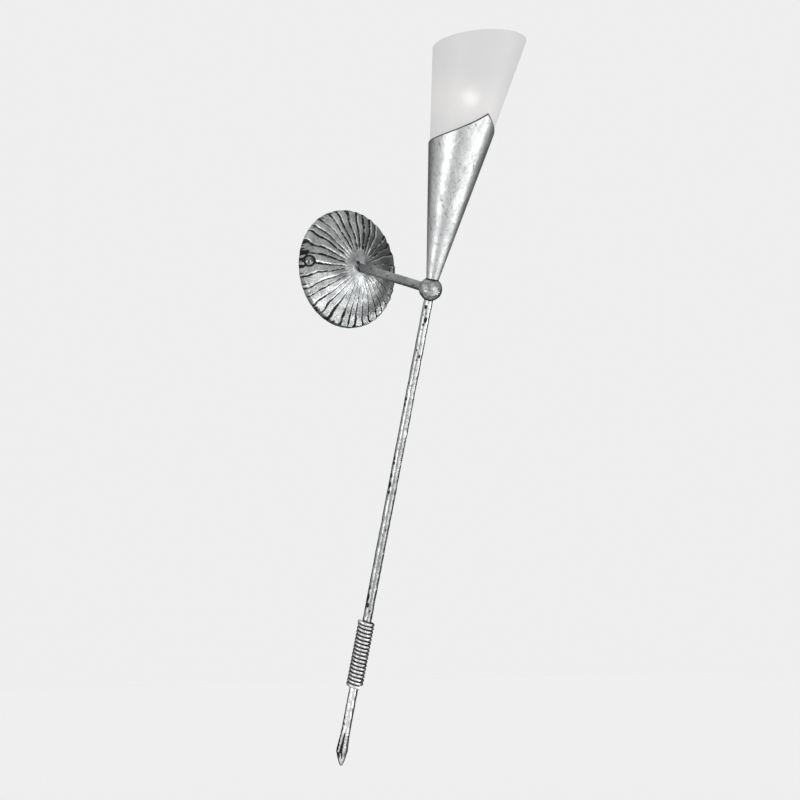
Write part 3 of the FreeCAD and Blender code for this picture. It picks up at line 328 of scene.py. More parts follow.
def shaded(level, colour):
    """A colour made darker or brighter."""
    return tuple(level * part for part in colour[:3]) + (1,)


def dress(graph, inputs, bump=None, bump_depth=0.0):
    """Close a finish: a Principled shader with these inputs and perhaps a bump."""
    if bump is not None:
        bumped = graph.node("ShaderNodeBump", None, {"Height": bump, "Distance": bump_depth})
        inputs = {**inputs, "Normal": bumped}
    shader = graph.node("ShaderNodeBsdfPrincipled", None, inputs)
    graph.node("ShaderNodeOutputMaterial", None, {"Surface": shader})


# %% Silver leaf
LEAF = (0.50, 0.51, 0.51, 1)
LEAF_DULL = (0.27, 0.28, 0.285, 1)
# the colour that paints highlights on the leaf where a mesh is marked for them
LEAF_PAINTED_HIGHLIGHT = (0.88, 0.88, 0.87, 1)
GROUND = (0.010, 0.010, 0.010, 1)
LEAF_RELIEF = 0.00028


def silver_leaf(name, patch, chip_size, chips, dull, mottle=1.0, wrinkles=420,
                stretch=(1, 1, 1), level=1.0, dents=0.5, specks=0.6):
    """Leaf over a dark ground. Patch, chip size and wrinkles are in patterns per metre.

    A lower chips value leaves more ground bare. dull is the roughness, mottle the
    contrast between patches and level the brightness of the leaf, which paints light
    and shade where it differs between pieces. stretch draws the wrinkles out along an
    axis. dents is the depth of the broad unevenness, and specks the strength of the
    finest dark grain.
    """
    material, graph, place = new_finish(name)
    wear_and_shade = graph.node("ShaderNodeAttribute", {"attribute_name": "wear_and_shade"}, output="Fac")
    painted_highlight = graph.node("ShaderNodeAttribute", {"attribute_name": "painted_highlight"}, output="Fac")
    drawn = graph.vector("MULTIPLY", place, stretch)
    tone = graph.between(graph.noise(drawn, patch, 5, 0.6), 0.34, 0.66)
    crumbs = graph.noise(place, chip_size, 5, 0.62)
    clusters = graph.noise(place, patch * 0.6, 2)
    chance = crumbs + 0.22 * (clusters - 0.5) + 0.30 * wear_and_shade
    bare = graph.between(chance, chips + 0.06, chips + 0.10)
    # patina from the marks of wear; where those marks stand for shade, as between the wire's turns
    # and in the rosette's widened lower grooves, it is painted shade
    patina_and_shade = graph.between(wear_and_shade + 0.5 * (crumbs - 0.5), 0.25, 0.80)
    creases = graph.noise(drawn, wrinkles, 6, 0.7)
    cells = graph.node("ShaderNodeTexVoronoi", {"feature": "DISTANCE_TO_EDGE"},
                       {"Vector": place, "Scale": patch * 0.7})
    laps = 1 - graph.between(cells, 0.0, 0.035)
    colour = graph.blend(mottle * (1 - tone), shaded(level, LEAF), shaded(level, LEAF_DULL))
    # painted highlight: marked places get the bright leaf colour and a smoother surface
    colour = graph.blend(0.85 * painted_highlight, colour, LEAF_PAINTED_HIGHLIGHT)
    grain = graph.between(graph.noise(drawn, 1.6 * wrinkles, 3, 0.6), 0.50, 0.70)
    smut = graph.math("MAXIMUM", 0.70 * graph.between(creases, 0.54, 0.70), specks * grain)
    colour = graph.blend(smut * (1 - 0.7 * painted_highlight), colour, GROUND)
    dark = graph.math("MAXIMUM", bare, 0.95 * patina_and_shade)
    colour = graph.blend(dark, colour, GROUND)
    rough = dull + 0.10 * (1 - tone) + 0.10 * (creases - 0.5) - 0.10 * painted_highlight + 0.25 * dark
    waves = graph.noise(drawn, 1.7 * patch, 3, 0.55)
    relief = 0.7 * creases + 0.30 * laps - 1.1 * bare + 4 * dents * waves
    dress(graph, {"Base Color": colour, "Metallic": 1 - 0.9 * dark, "Roughness": rough,
                  "Specular IOR Level": 0.15}, relief, LEAF_RELIEF)
    return material


# The levels differ by piece: darker on the arm, the wire, the ball and the tubes, brighter on the
# cone. That is painted light and shade, one silver leaf made lighter or darker piece by piece.
leaf_rosette = silver_leaf("silver_leaf_rosette", patch=75, chip_size=280, chips=0.68, dull=0.33,
                           mottle=0.9, dents=0.3)
leaf_cone = silver_leaf("silver_leaf_cone", patch=70, chip_size=330, chips=0.72, dull=0.36,
                        mottle=0.40, wrinkles=330, stretch=(1, 1, 0.4), level=1.05, dents=0.2,
                        specks=0.30)
leaf_ball = silver_leaf("silver_leaf_ball", patch=190, chip_size=420, chips=0.68, dull=0.30,
                        stretch=(1, 0.6, 1), level=0.85, dents=0.9)
leaf_arm = silver_leaf("silver_leaf_arm", patch=120, chip_size=300, chips=0.68, dull=0.34,
                       stretch=(1, 0.4, 1), level=0.80)
leaf_tube = silver_leaf("silver_leaf_tube", patch=120, chip_size=300, chips=0.68, dull=0.22,
                        mottle=0.7, stretch=(1, 1, 0.35), level=0.85, dents=0.2, specks=0.35)
leaf_wire = silver_leaf("silver_leaf_wire", patch=170, chip_size=420, chips=0.70, dull=0.27,
                        level=0.75)

# %% [markdown]
# ## Plain workshop finishes
# The pieces behind the rosette and under the glass are ordinary hardware: zinc plated
# steel, brass, glazed ceramic, moulded plastic, rubber and wire insulation. Each has
# one function, with a grain or mottle at its real scale.

# %% Metal hardware
def hardware_metal(name, colour, roughness, mottle):
    """Plain metal, with a grain and the small crystals of plating."""
    material, graph, place = new_finish(name)
    grain = graph.noise(place, mottle, 5, 0.65)
    spangle = graph.node("ShaderNodeTexVoronoi", None, {"Vector": place, "Scale": mottle * 0.4},
                         output="Distance")
    tint = graph.blend(graph.between(grain, 0.35, 0.7), shaded(0.62, colour), colour)
    dress(graph, {"Base Color": tint, "Metallic": 1.0,
                  "Roughness": roughness + 0.15 * spangle}, grain, 0.00008)
    return material


zinc = hardware_metal("zinc_plate", (0.60, 0.61, 0.63, 1), 0.30, 400)
brass = hardware_metal("bare_brass", (0.62, 0.44, 0.18, 1), 0.26, 500)
tungsten = hardware_metal("tungsten_wire", (0.55, 0.50, 0.45, 1), 0.4, 900)


# %% Soft and moulded hardware
def moulded(name, colour, roughness, speckle, coat=0.0):
    """Ceramic, plastic or rubber, with a fine speckle and perhaps a glaze."""
    material, graph, place = new_finish(name)
    grain = graph.noise(place, speckle, 4, 0.6)
    tint = graph.blend(graph.between(grain, 0.3, 0.75), colour, shaded(0.72, colour))
    dress(graph, {"Base Color": tint, "Roughness": roughness + 0.12 * grain,
                  "Coat Weight": coat}, grain, 0.00006)
    return material


ceramic = moulded("glazed_ceramic", (0.80, 0.77, 0.70, 1), 0.22, 250, coat=0.6)
block_plastic = moulded("block_plastic", (0.76, 0.74, 0.66, 1), 0.42, 500)
rubber = moulded("black_rubber", (0.022, 0.022, 0.022, 1), 0.62, 600)
live_sleeve = moulded("brown_insulation", (0.16, 0.055, 0.022, 1), 0.4, 500)
neutral_sleeve = moulded("blue_insulation", (0.03, 0.11, 0.38, 1), 0.4, 500)


# %% Green and yellow insulation
def earth_insulation():
    """Two stripes along the wire, as on every earth wire."""
    material, graph, place = new_finish("green_yellow_insulation")
    low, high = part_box("earth_wire")
    across = graph.math("ABSOLUTE", graph.parts(place)["Z"] - (low.z + high.z) / 2)
    stripe = graph.between(across, 0.0004, 0.0006)
    tint = graph.blend(stripe, (0.55, 0.50, 0.03, 1), (0.06, 0.30, 0.05, 1))
    dress(graph, {"Base Color": tint, "Roughness": 0.42}, graph.noise(place, 500, 3), 0.00005)
    return material


earth_sleeve = earth_insulation()


# %% Blackened screw heads
def blackened_steel():
    """Smooth dark steel, in darker and paler patches."""
    material, graph, place = new_finish("blackened_steel")
    grain = graph.noise(place, 250, 3)
    patches = graph.between(grain, 0.35, 0.65)
    tint = graph.blend(patches, (0.08, 0.08, 0.08, 1), (0.32, 0.32, 0.32, 1))
    rough = 0.16 + 0.1 * grain
    dress(graph, {"Base Color": tint, "Metallic": 0.9, "Roughness": rough}, grain, 0.00002)
    return material


screw_black = blackened_steel()

# %% [markdown]
# ## The lit glass
# Frosted glass spreads the light that goes through it, so the small bulb behind it
# shows as a soft bright spot and the rest of the glass as an even white. The spot
# could be painted on, but then it would stay put when the lamp is seen from another
# side. Here part of the light really goes through a rough wall of glass, and the
# bulb's capsule shines behind it. The glass's even white and its warmer glow round
# the filament are painted light: the glass itself is given an emission.

# %% Frosted glass and the bulb
FILAMENT = world_place("torch", 0, 0, 204)
# how far the glass's painted warm light reaches round the filament
PAINTED_GLOW_REACH = 0.055
# the part of the capsule that shines towards the camera of the photograph
SPOT = world_place("torch", 3.0, -2.4, 204)
SPOT_REACH = 0.0110


def nearness(graph, place, spot, reach):
    """1 at a spot, falling to 0 at a distance from it."""
    away = graph.vector("DISTANCE", place, tuple(spot))["Value"]
    return 1 - graph.between(away, 0.0, reach)


def frosted_glass():
    """Rough glass with painted light: it shines evenly white by itself, warmer round the filament.
    """
    material, graph, place = new_finish("frosted_glass")
    frost = graph.noise(place, 700, 4, 0.6)
    clouds = graph.noise(place, 22, 3)
    painted_glow = nearness(graph, place, FILAMENT, PAINTED_GLOW_REACH)
    tint = graph.blend(0.3 * frost + 0.3 * clouds, (0.37, 0.368, 0.366, 1), (0.32, 0.32, 0.322, 1))
    # painted light: the glass gives off an even white, warmer near the filament
    light = graph.blend(painted_glow, (0.35, 0.35, 0.352, 1), (0.54, 0.515, 0.50, 1))
    dress(graph, {"Base Color": tint, "Roughness": 0.42 + 0.08 * frost, "Transmission Weight": 0.28,
                  "IOR": 1.45, "Specular IOR Level": 0.15, "Emission Color": light,
                  "Emission Strength": 1.0}, frost, 0.00004)
    return material


def lit_capsule():
    """Clear glass that shines at one spot, where the filament is behind it."""
    material, graph, place = new_finish("lit_capsule")
    spot = nearness(graph, place, SPOT, SPOT_REACH)
    light = graph.blend(spot, (0.04, 0.035, 0.03, 1), (1.0, 0.93, 0.85, 1))
    dress(graph, {"Base Color": (0.85, 0.86, 0.87, 1), "Roughness": 0.12, "Alpha": 0.75,
                  "Emission Color": light, "Emission Strength": 36.0})
    return material


glass_white = frosted_glass()
capsule_glass = lit_capsule()

# %% [markdown]
# ## The rosette
# It is pressed from sheet: a shallow dome with a plain boss, and sharp folds that fan
# out from the boss to the rim like overlapping leaves. A rule describes it: how high
# the sheet stands at each angle and radius. Geometry Nodes evaluate that rule on a
# flat net, so the folds can be changed by their count and depth, and stored marks
# tell the finish where the grooves are and where highlights are painted along the
# ridges. On the lower, outer part of the dome the dark grooves are widened as
# painted shade.

# %% The rule of the fluted sheet
ROSETTE = {
    "Rim radius": 63.9, "Hole radius": 3.6, "Lip": 2.5, "Dome rise": 22.0,
    "Boss radius": 14.0, "Boss height": 26.0, "Folds": 34, "Fold depth": 1.5,
}
SHEET_WALL = 1.5
ROSETTE_COLUMNS = 681
ROSETTE_ROWS = 66
DOME_SHARE = 0.96  # rows of the net on the dome; the rest go down the lip
BOSS_FLAT = 7.0
BOSS_SLOPE = 0.352
STEEP_FROM = 0.84  # share of a fold's width that climbs before it drops
# dark smuts round the two screws and beside the arm's root: x, y, spread and how broken
SMUTS = [(-57, 3, 7.8, 0.20), (-60, 12, 3.5, 0.40), (57.5, 3, 7, 0.30), (-4.5, 4.2, 2.6, 0.40)]


def rosette_tree(material):
    """The pressed sheet: the dome and its boss first, then the folds, then the marks."""
    graph, given = new_tree("fluted_rosette", ROSETTE)
    net, share = flat_net(graph, ROSETTE_COLUMNS, ROSETTE_ROWS)
    rim, rise = given["Rim radius"], given["Dome rise"]

    angle = 2 * math.pi * share["X"]
    span = share["Y"] / DOME_SHARE
    on_dome = graph.math("MINIMUM", span, 1.0)
    down_lip = graph.math("MAXIMUM", (share["Y"] - DOME_SHARE) / (1 - DOME_SHARE), 0.0)
    radius = given["Hole radius"] + (rim - given["Hole radius"]) * on_dome
    dome = (rim * rim + rise * rise) / (2 * rise)
    height = graph.math("SQRT", dome * dome - radius * radius) - dome + rise + given["Lip"]
    flat = given["Boss height"] - BOSS_SLOPE * graph.math("MAXIMUM", radius - BOSS_FLAT, 0.0)
    height = graph.math("SMOOTH_MAX", height, flat, 1.2)

    east = graph.math("COSINE", angle)
    north = graph.math("SINE", angle)
    around = graph.point(east * radius, north * radius)
    wander = graph.noise(around, 0.024, 1) + 0.12 * graph.noise(around, 0.12, 1) - 0.56
    outwards = radius / rim
    fold = angle * given["Folds"] / (2 * math.pi) + 2.2 * wander * outwards
    part = graph.math("FRACT", fold)
    which = graph.math("MODULO", graph.math("FLOOR", fold) + given["Folds"], given["Folds"])
    chance = graph.node("ShaderNodeTexWhiteNoise", {"noise_dimensions": "1D"}, {"W": which})
    ramp = graph.math("MINIMUM", part / STEEP_FROM, (1 - part) / (1 - STEEP_FROM))
    reach = graph.between(radius, given["Boss radius"] + 0.5, 24.0)
    depth = given["Fold depth"] * reach * (0.60 + 0.65 * chance)
    dents = graph.noise(around, 0.07, 2) - 0.5
    height = (height + depth * (ramp - 1) + 0.7 * dents * reach) * (1 - down_lip)
    scallop = 0.35 * (ramp - 0.5) * reach
    radius = radius + scallop * graph.between(span, 0.93, 1.0) - 0.25
    placed = moved(graph, net, graph.point(east * radius, north * radius, height))

    off_groove = graph.math("ABSOLUTE", graph.math("FRACT", part + 0.54) - 0.5)
    # painted shade: on the lower, outer part of the dome the dark grooves are widened
    painted_low_shade = graph.between(0 - north, 0.35, 0.85) * graph.between(outwards, 0.35, 0.9)
    near_groove = 1 - graph.between(off_groove, 0.04 + 0.06 * chance + 0.05 * painted_low_shade,
                                    0.11 + 0.13 * chance + 0.10 * painted_low_shade)
    near_crest = 1 - graph.between(graph.math("ABSOLUTE", part - 0.80), 0.02, 0.07)
    crumbs = graph.noise(around, 0.20, 4)
    edge = graph.between(span, 0.95, 1.0) * graph.between(crumbs, 0.50, 0.60)
    groove = near_groove * reach * (0.62 + 0.5 * graph.between(crumbs, 0.40, 0.56))
    wear_and_shade = graph.math("MAXIMUM", groove, edge)
    flat_spot = graph.point(east * radius, north * radius)
    for place_x, place_y, spread, broken in SMUTS:
        away = graph.vector("DISTANCE", flat_spot, (place_x, place_y, 0))["Value"]
        whole = 1 - graph.between(away, spread * 0.75, spread)
        smut = whole * graph.between(crumbs, broken, broken + 0.12)
        wear_and_shade = graph.math("MAXIMUM", wear_and_shade, smut)
    marked = stored(graph, placed, "wear_and_shade", wear_and_shade)
    # painted highlight along the top of each fold's ridge, broken up by noise
    painted_crest_highlight = near_crest * reach * graph.between(graph.noise(around, 0.05, 3), 0.42, 0.54)
    marked = stored(graph, marked, "painted_highlight", painted_crest_highlight)
    inputs = {"Geometry": marked, "Distance": 0.002}
    joined = graph.node("GeometryNodeMergeByDistance", None, inputs)
    end_tree(graph, joined, material)
    return graph


rosette = grown("fluted_rosette", rosette_tree(leaf_rosette), ROSETTE, wall=SHEET_WALL)
settle(rosette, "rosette", leaf_rosette)
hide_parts("rosette")

# %% [markdown]
# ## Side screws
# Two domed screws hold the rosette to the bracket behind it. They are the same piece
# twice, so one head and shank is made and a Geometry Nodes tree sets it down on two
# points, each turned square to the dome.

# %% One screw, set down twice
DOME_RIM = 64
DOME_RISE = ROSETTE["Dome rise"]
DOME_RADIUS = (DOME_RIM**2 + DOME_RISE**2) / (2 * DOME_RISE)
DOME_CENTRE = ROSETTE["Lip"] + DOME_RISE - DOME_RADIUS
SCREW_PLACE = 57.5
SCREW_LIFT = 1.4
SCREW = {
    "Head radius": 5.3, "Head height": 3.6, "Shank radius": 2.0, "Shank length": 7.6,
    "Place": SCREW_PLACE, "Lean": math.asin(SCREW_PLACE / DOME_RADIUS),
}


def screw_tree(material):
    """One screw from a flattened ball and a bar, set down on either side of the dome."""
    graph, given = new_tree("domed_screws", SCREW)
    inputs = {"Segments": 40, "Rings": 20, "Radius": 1.0}
    ball = graph.node("GeometryNodeMeshUVSphere", None, inputs)
    parts = graph.parts(graph.node("GeometryNodeInputPosition"))
    crown = graph.math("MAXIMUM", parts["Z"], -0.06)
    wide = given["Head radius"]
    shaped = graph.point(parts["X"] * wide, parts["Y"] * wide, crown * given["Head height"])
    head = moved(graph, ball, shaped)
    bar = graph.node("GeometryNodeMeshCylinder", None, {
        "Vertices": 24, "Radius": given["Shank radius"], "Depth": given["Shank length"]})
    down = graph.point(z=given["Shank length"] * -0.5)
    shank = graph.node("GeometryNodeTransform", None, {"Geometry": bar, "Translation": down})
    both = graph.node("GeometryNodeJoinGeometry")
    graph.tree.links.new(head.socket, both.socket.node.inputs[0])
    graph.tree.links.new(shank.socket, both.socket.node.inputs[0])
    row = graph.node("GeometryNodeMeshLine", None, {
        "Count": 2, "Start Location": (-1, 0, 0), "Offset": (2, 0, 0)})
    side = graph.parts(graph.node("GeometryNodeInputPosition"))
    up = DOME_CENTRE + SCREW_LIFT + DOME_RADIUS * graph.math("COSINE", given["Lean"])
    points = moved(graph, row, graph.point(x=side["X"] * given["Place"], z=up))
    turn = graph.point(y=graph.math("SIGN", side["X"]) * given["Lean"])
    screws = graph.node("GeometryNodeInstanceOnPoints", None, {
        "Points": points, "Instance": both, "Rotation": turn})
    end_tree(graph, screws, material)
    return graph


screws = grown("side_screws", screw_tree(screw_black), SCREW)
screws.data.transform(Matrix.Translation((0, ROSETTE_DROP, 0)))
settle(screws, "rosette", screw_black)
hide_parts("rosette_screws")

# %% [markdown]
# ## Hand-worked tubes
# The arm and the rod are 10 mm tubes. On the real lamp their leaf is rubbed by hand,
# so they are not quite round or straight-sided. A lathe outline closed into a ring
# gives the tube its wall, and a small noise moves the outer skin. The same function
# cuts the threads, because a thread is an outline whose radius turns with the angle.

# %% A tube from a rule
TUBE_SIDES = 40
TUBE_RADIUS = 5.0
UNEVEN_SCALE = 0.16  # how fast the unevenness changes along a tube
# how strongly a highlight is painted on a tube's leaf
PAINTED_HIGHLIGHT_LEVEL = 0.9


def worked_tube(name, low, high, radius, bore, step, unevenness=0.0, chips=(), threads=(),
                painted_highlight_below=-math.inf):
    """A tube along Z, with a wall.

    chips lists (z, turn, length, width) spots where the leaf is gone, and threads
    lists (low, high, pitch, depth) runs that are threaded. radius is a size or a rule
    of z. Below the height given last, the leaf gets a painted highlight.
    """
    count = int((high - low) / step) + 1
    outer = [low + (high - low) * index / (count - 1) for index in range(count)]
    outline = [(z, True) for z in outer] + [(high, False), (low, False)]

    def radius_at(z, angle):
        base = radius(z) if callable(radius) else radius
        for start, end, pitch, depth in threads:
            if start <= z <= end:
                turn = (z / pitch - angle / (2 * math.pi)) % 1
                base -= depth * abs(2 * turn - 1)
        spot = Vector((math.cos(angle) * 4, math.sin(angle) * 4, z)) * UNEVEN_SCALE
        return base + unevenness * (noise.noise(spot) - 0.3)

    def rule(row, column):
        z, is_outer = outline[row]
        angle = 2 * math.pi * column / TUBE_SIDES
        reach = radius_at(z, angle) if is_outer else bore
        return (math.cos(angle) * reach, math.sin(angle) * reach, z)

    def marks(row, column):
        z, is_outer = outline[row]
        if not is_outer:
            return 0.0
        angle = 2 * math.pi * column / TUBE_SIDES
        worn = 0.0
        for spot, turn, length, width in chips:
            off = (angle - math.radians(turn) + math.pi) % (2 * math.pi) - math.pi
            away = math.hypot((z - spot) / length, off * TUBE_RADIUS / width)
            worn = max(worn, 1.6 - 1.2 * away)
        return min(1.0, worn)

    def painted_highlights(row, column):
        return PAINTED_HIGHLIGHT_LEVEL if outline[row][0] < painted_highlight_below else 0.0

    return skin(name, len(outline), TUBE_SIDES, rule, closed_rows=True, marks=marks, painted_highlights=painted_highlights)


# %% The arm and the rod
TUBE_SEAT = 11.3  # flats of the ball, from its centre
ARM_ROOT = 125.4
ARM_END = 142.3
THREADED = 4.0
TUBE_BORE = 2.8
THREAD = (1.0, 0.35)  # pitch and depth


def arm_radius(z):
    """The arm's own tube, then the thinner threaded end inside the rosette."""
    return TUBE_RADIUS if z < ARM_ROOT else THREADED


ARM_CHIPS = [
    (24, 175, 1.2, 1.3), (42, 250, 1.0, 0.8), (70, 190, 1.4, 1.0), (101, 215, 1.2, 1.0),
    (11, 180, 1.2, 9), (121, 160, 2.2, 2.4), (60, 20, 3, 2), (90, 80, 2, 2),
]
arm = worked_tube("arm", TUBE_SEAT, ARM_END, arm_radius, TUBE_BORE, step=0.25, unevenness=0.18,
                  chips=ARM_CHIPS, threads=[(ARM_ROOT + 0.3, ARM_END, *THREAD)])
settle(arm, "arm", leaf_arm)
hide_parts("arm_tube")

ROD_CHIPS = [
    (-19, 215, 2.5, 1.8), (-26, 232, 1.2, 1.0), (-33, 240, 3.6, 2.0), (-38, 222, 1.6, 1.4),
    (-66, 205, 1.6, 1.0), (-72, 250, 2.2, 1.3), (-76, 226, 1.2, 1.0), (-102, 172, 2.0, 1.2),
    (-119, 182, 2.2, 1.8), (-125, 174, 3.2, 2.0), (-150, 262, 1.2, 0.8), (-176, 170, 2.4, 1.2),
    (-184, 178, 2.2, 1.5), (-189, 185, 2.2, 1.8), (-203, 180, 3.2, 1.8), (-213, 186, 4.6, 2.2),
    (-221, 194, 2.2, 1.6), (-232, 165, 2.0, 1.6), (-262, 247, 1.8, 1.0), (-300, 170, 2.2, 1.3),
    (-327, 178, 3.0, 1.6), (-338, 184, 5.0, 2.2), (-346, 196, 3.2, 2.6), (-352, 245, 1.6, 1.0),
    (-462, 168, 2.4, 1.2), (-473, 172, 2.6, 1.6), (-480, 186, 2.0, 1.4), (-486, 168, 2.4, 2.0),
    # (-405, 0, 34, 40) darkens the rod all round where the winding covers it, and (-11, 0, 1.2, 40)
    # darkens a ring at the ball
    (-110, 20, 3, 2), (-205, 60, 4, 2), (-318, 10, 3, 2), (-405, 0, 34, 40), (-11, 0, 1.2, 40),
]
ROD_END = -488
ROD_BORE = 4.05
# below this height, inside the winding and on down to the point, the rod gets a painted highlight
PAINTED_HIGHLIGHT_BELOW = -425  # inside the winding
rod = worked_tube("rod", ROD_END, -TUBE_SEAT, TUBE_RADIUS, ROD_BORE, step=1.2, unevenness=0.34,
                  chips=ROD_CHIPS, painted_highlight_below=PAINTED_HIGHLIGHT_BELOW)
settle(rod, "torch", leaf_tube)
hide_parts("torch_rod")

# %% The threaded stem inside the cone
STEM_FOOT = 5.0
STEM_TOP = 153
THREAD_FROM = 60
stem = worked_tube("stem", STEM_FOOT, STEM_TOP, THREADED, TUBE_BORE, step=0.25,
                   threads=[(THREAD_FROM, STEM_TOP, *THREAD)])
settle(stem, "torch", zinc)
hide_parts("lamp_stem")

# %% [markdown]
# ## The hammered ball
# The ball that joins the tubes is a forged ball: small flats from the hammer meet in
# soft ridges. A net sphere is pulled in to a set of planes, which is just what a
# hammer does. Three of the planes are the real seats of the cone, rod and arm.

# %% Pull a sphere in to hammer flats
BALL_RADIUS = 12.5
BALL_ROWS = 90
BALL_COLUMNS = 120
BLOWS = 64
BLOW_DEPTH = 0.42
CONE_SEAT = 10.4
GOLDEN = math.pi * (3 - math.sqrt(5))


def hammer_planes():
    """Directions spread evenly over the ball, each with its plane's distance."""
    planes = []
    for index in range(BLOWS):
        z = 1 - 2 * (index + 0.5) / BLOWS
        flat = math.sqrt(1 - z * z)
        direction = Vector((flat * math.cos(GOLDEN * index), flat * math.sin(GOLDEN * index), z))
        direction += Vector(noise.random_vector()) * 0.10
        planes.append((direction.normalized(), BALL_RADIUS - BLOW_DEPTH))
    arm_way = FRAMES["torch"].to_3x3().inverted() @ FRAMES["arm"].to_3x3() @ Vector((0, 0, 1))
    planes.append((Vector((0, 0, 1)), CONE_SEAT))
    planes.append((Vector((0, 0, -1)), TUBE_SEAT))
    planes.append((arm_way, TUBE_SEAT))
    return planes


noise.seed_set(7)
PLANES = hammer_planes()


def ball_rule(row, column):
    """A place on the sphere, or on the nearest plane that cuts it away."""
    polar = math.pi * (row + 0.5) / BALL_ROWS
    angle = 2 * math.pi * column / BALL_COLUMNS
    flat = math.sin(polar)
    way = Vector((flat * math.cos(angle), flat * math.sin(angle), -math.cos(polar)))
    reach = BALL_RADIUS
    for direction, distance in PLANES:
        facing = way.dot(direction)
        if facing > 0.5:
            reach = min(reach, distance / facing)
    return tuple(way * reach)


def ball_marks(row, column):
    """Dark ground in the joints, where the cone, the rod and the arm stand."""
    spot = Vector(ball_rule(row, column))
    worn = 0.0
    for direction, distance in PLANES[-3:]:
        rim = math.sqrt(BALL_RADIUS ** 2 - distance ** 2)
        across = (spot - direction * spot.dot(direction)).length
        if spot.dot(direction) > distance - 0.9:
            worn = max(worn, 1.0 - 0.35 * max(0.0, across - rim + 0.6))
    return worn


ball = skin("hammered_ball", BALL_ROWS, BALL_COLUMNS, ball_rule, marks=ball_marks)
settle(ball, "torch", leaf_ball)
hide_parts("ball_joint")

# %% [markdown]
# ## The wire winding
# One wire is wound round the rod, turn by turn, and its two ends stand off a little.
# Geometry Nodes have a Spiral curve for the path and Curve to Mesh for the wire, so
# the count of turns, the pitch and the wire are named sizes. The ends are eased
# outwards by a rule on the distance along the curve.

# %% Wind the wire
WINDING = {
    "Turns": 17.3, "Coil radius": 7.1, "Pitch": 4.14, "Wire radius": 1.9,
    "Loose end": 1.1, "Kink": 0.7, "Front": math.radians(309), "Samples a turn": 44,
}
FIRST_TURN = -366.2
WHOLE_TURNS = 17
WINDING_LOW = FIRST_TURN - WHOLE_TURNS * WINDING["Pitch"]
WINDING_START = math.radians(-92)


def winding_tree(material):
    """A spiral wire: its path is swayed, kinked at the front and loosened at its ends."""
    graph, given = new_tree("wire_winding", WINDING)
    path = graph.node("GeometryNodeCurveSpiral", None, {
        "Resolution": given["Samples a turn"], "Rotations": given["Turns"],
        "Start Radius": given["Coil radius"], "End Radius": given["Coil radius"],
        "Height": given["Turns"] * given["Pitch"]})
    along = graph.node("GeometryNodeSplineParameter", output="Factor")
    turns_in = along * given["Turns"]
    low_end = 1 - graph.between(turns_in, 0.0, 0.45)
    high_end = graph.between(turns_in, given["Turns"] - 0.4, given["Turns"])
    place = graph.node("GeometryNodeInputPosition")
    parts = graph.parts(place)
    sway = graph.noise(place, 0.16, 2) - 0.5
    loosened = given["Loose end"] * (low_end + high_end) + 0.28 * (sway + 0.5)
    ease = 1 + loosened / given["Coil radius"]
    turned = turns_in * (2 * math.pi) - given["Front"]
    kink = graph.math("POWER", 0.5 + 0.5 * graph.math("COSINE", turned), 3.0) * given["Kink"]
    eased = graph.point(parts["X"] * ease, parts["Y"] * ease, parts["Z"] + 0.35 * sway - kink)
    loose = moved(graph, path, eased)
    ring = graph.node("GeometryNodeCurvePrimitiveCircle", None, {
        "Resolution": 16, "Radius": given["Wire radius"]})
    wire = graph.node("GeometryNodeCurveToMesh", None, {
        "Curve": loose, "Profile Curve": ring, "Fill Caps": True})
    on_wire = graph.parts(graph.node("GeometryNodeInputPosition"))
    off = graph.math("SQRT", on_wire["X"] * on_wire["X"] + on_wire["Y"] * on_wire["Y"])
    outer = given["Coil radius"] + given["Wire radius"]
    # all of the wire but its outer crown is marked dark: patina and painted shade between the turns
    # and against the rod
    turn_patina_and_shade = 1 - graph.between(off, outer - 1.2, outer - 0.2)
    marked = stored(graph, wire, "wear_and_shade", turn_patina_and_shade)
    # painted highlight along the outer crown of every turn
    crown = 0.6 * graph.between(off, outer - 0.3, outer)
    end_tree(graph, stored(graph, marked, "painted_highlight", crown), material)
    return graph


winding = grown("wire_winding_turns", winding_tree(leaf_wire), WINDING)
winding_stance = Matrix.Translation((0, 0, WINDING_LOW)) @ Matrix.Rotation(WINDING_START, 4, "Z")
winding.data.transform(winding_stance)
settle(winding, "torch", leaf_wire)
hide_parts("wire_winding")

# %% [markdown]
# ## The forged point
# The end of the rod is beaten flat, folded down its front and cut to a nib. Sections
# taken down its length change from round to a wide oval and then to a small diamond,
# with a V pressed into the front. The whole point is turned towards the room's left.

# %% Sections down the point
POINT_TOP = -487.9
POINT_WIDE = -512.0
POINT_TIP = -527.5
POINT_ROWS = 60
POINT_COLUMNS = 72
POINT_HALF_WIDTH = 6.2
POINT_HALF_DEPTH = 4.8
POINT_BLUNT = 0.12  # size of the very tip, as a share of the widest place
POINT_ASIDE = 2.0
FOLD_DEPTH = 2.2
FOLD_SPREAD = math.radians(21)
FOLD_LEFT = math.radians(20)
POINT_TURN = math.radians(-42)


def off_fold(angle, share):
    """How far an angle is from the fold, which drifts left on its way down."""
    middle = 1.5 * math.pi - FOLD_LEFT * (1 - share)
    return abs((angle - middle + math.pi) % (2 * math.pi) - math.pi)


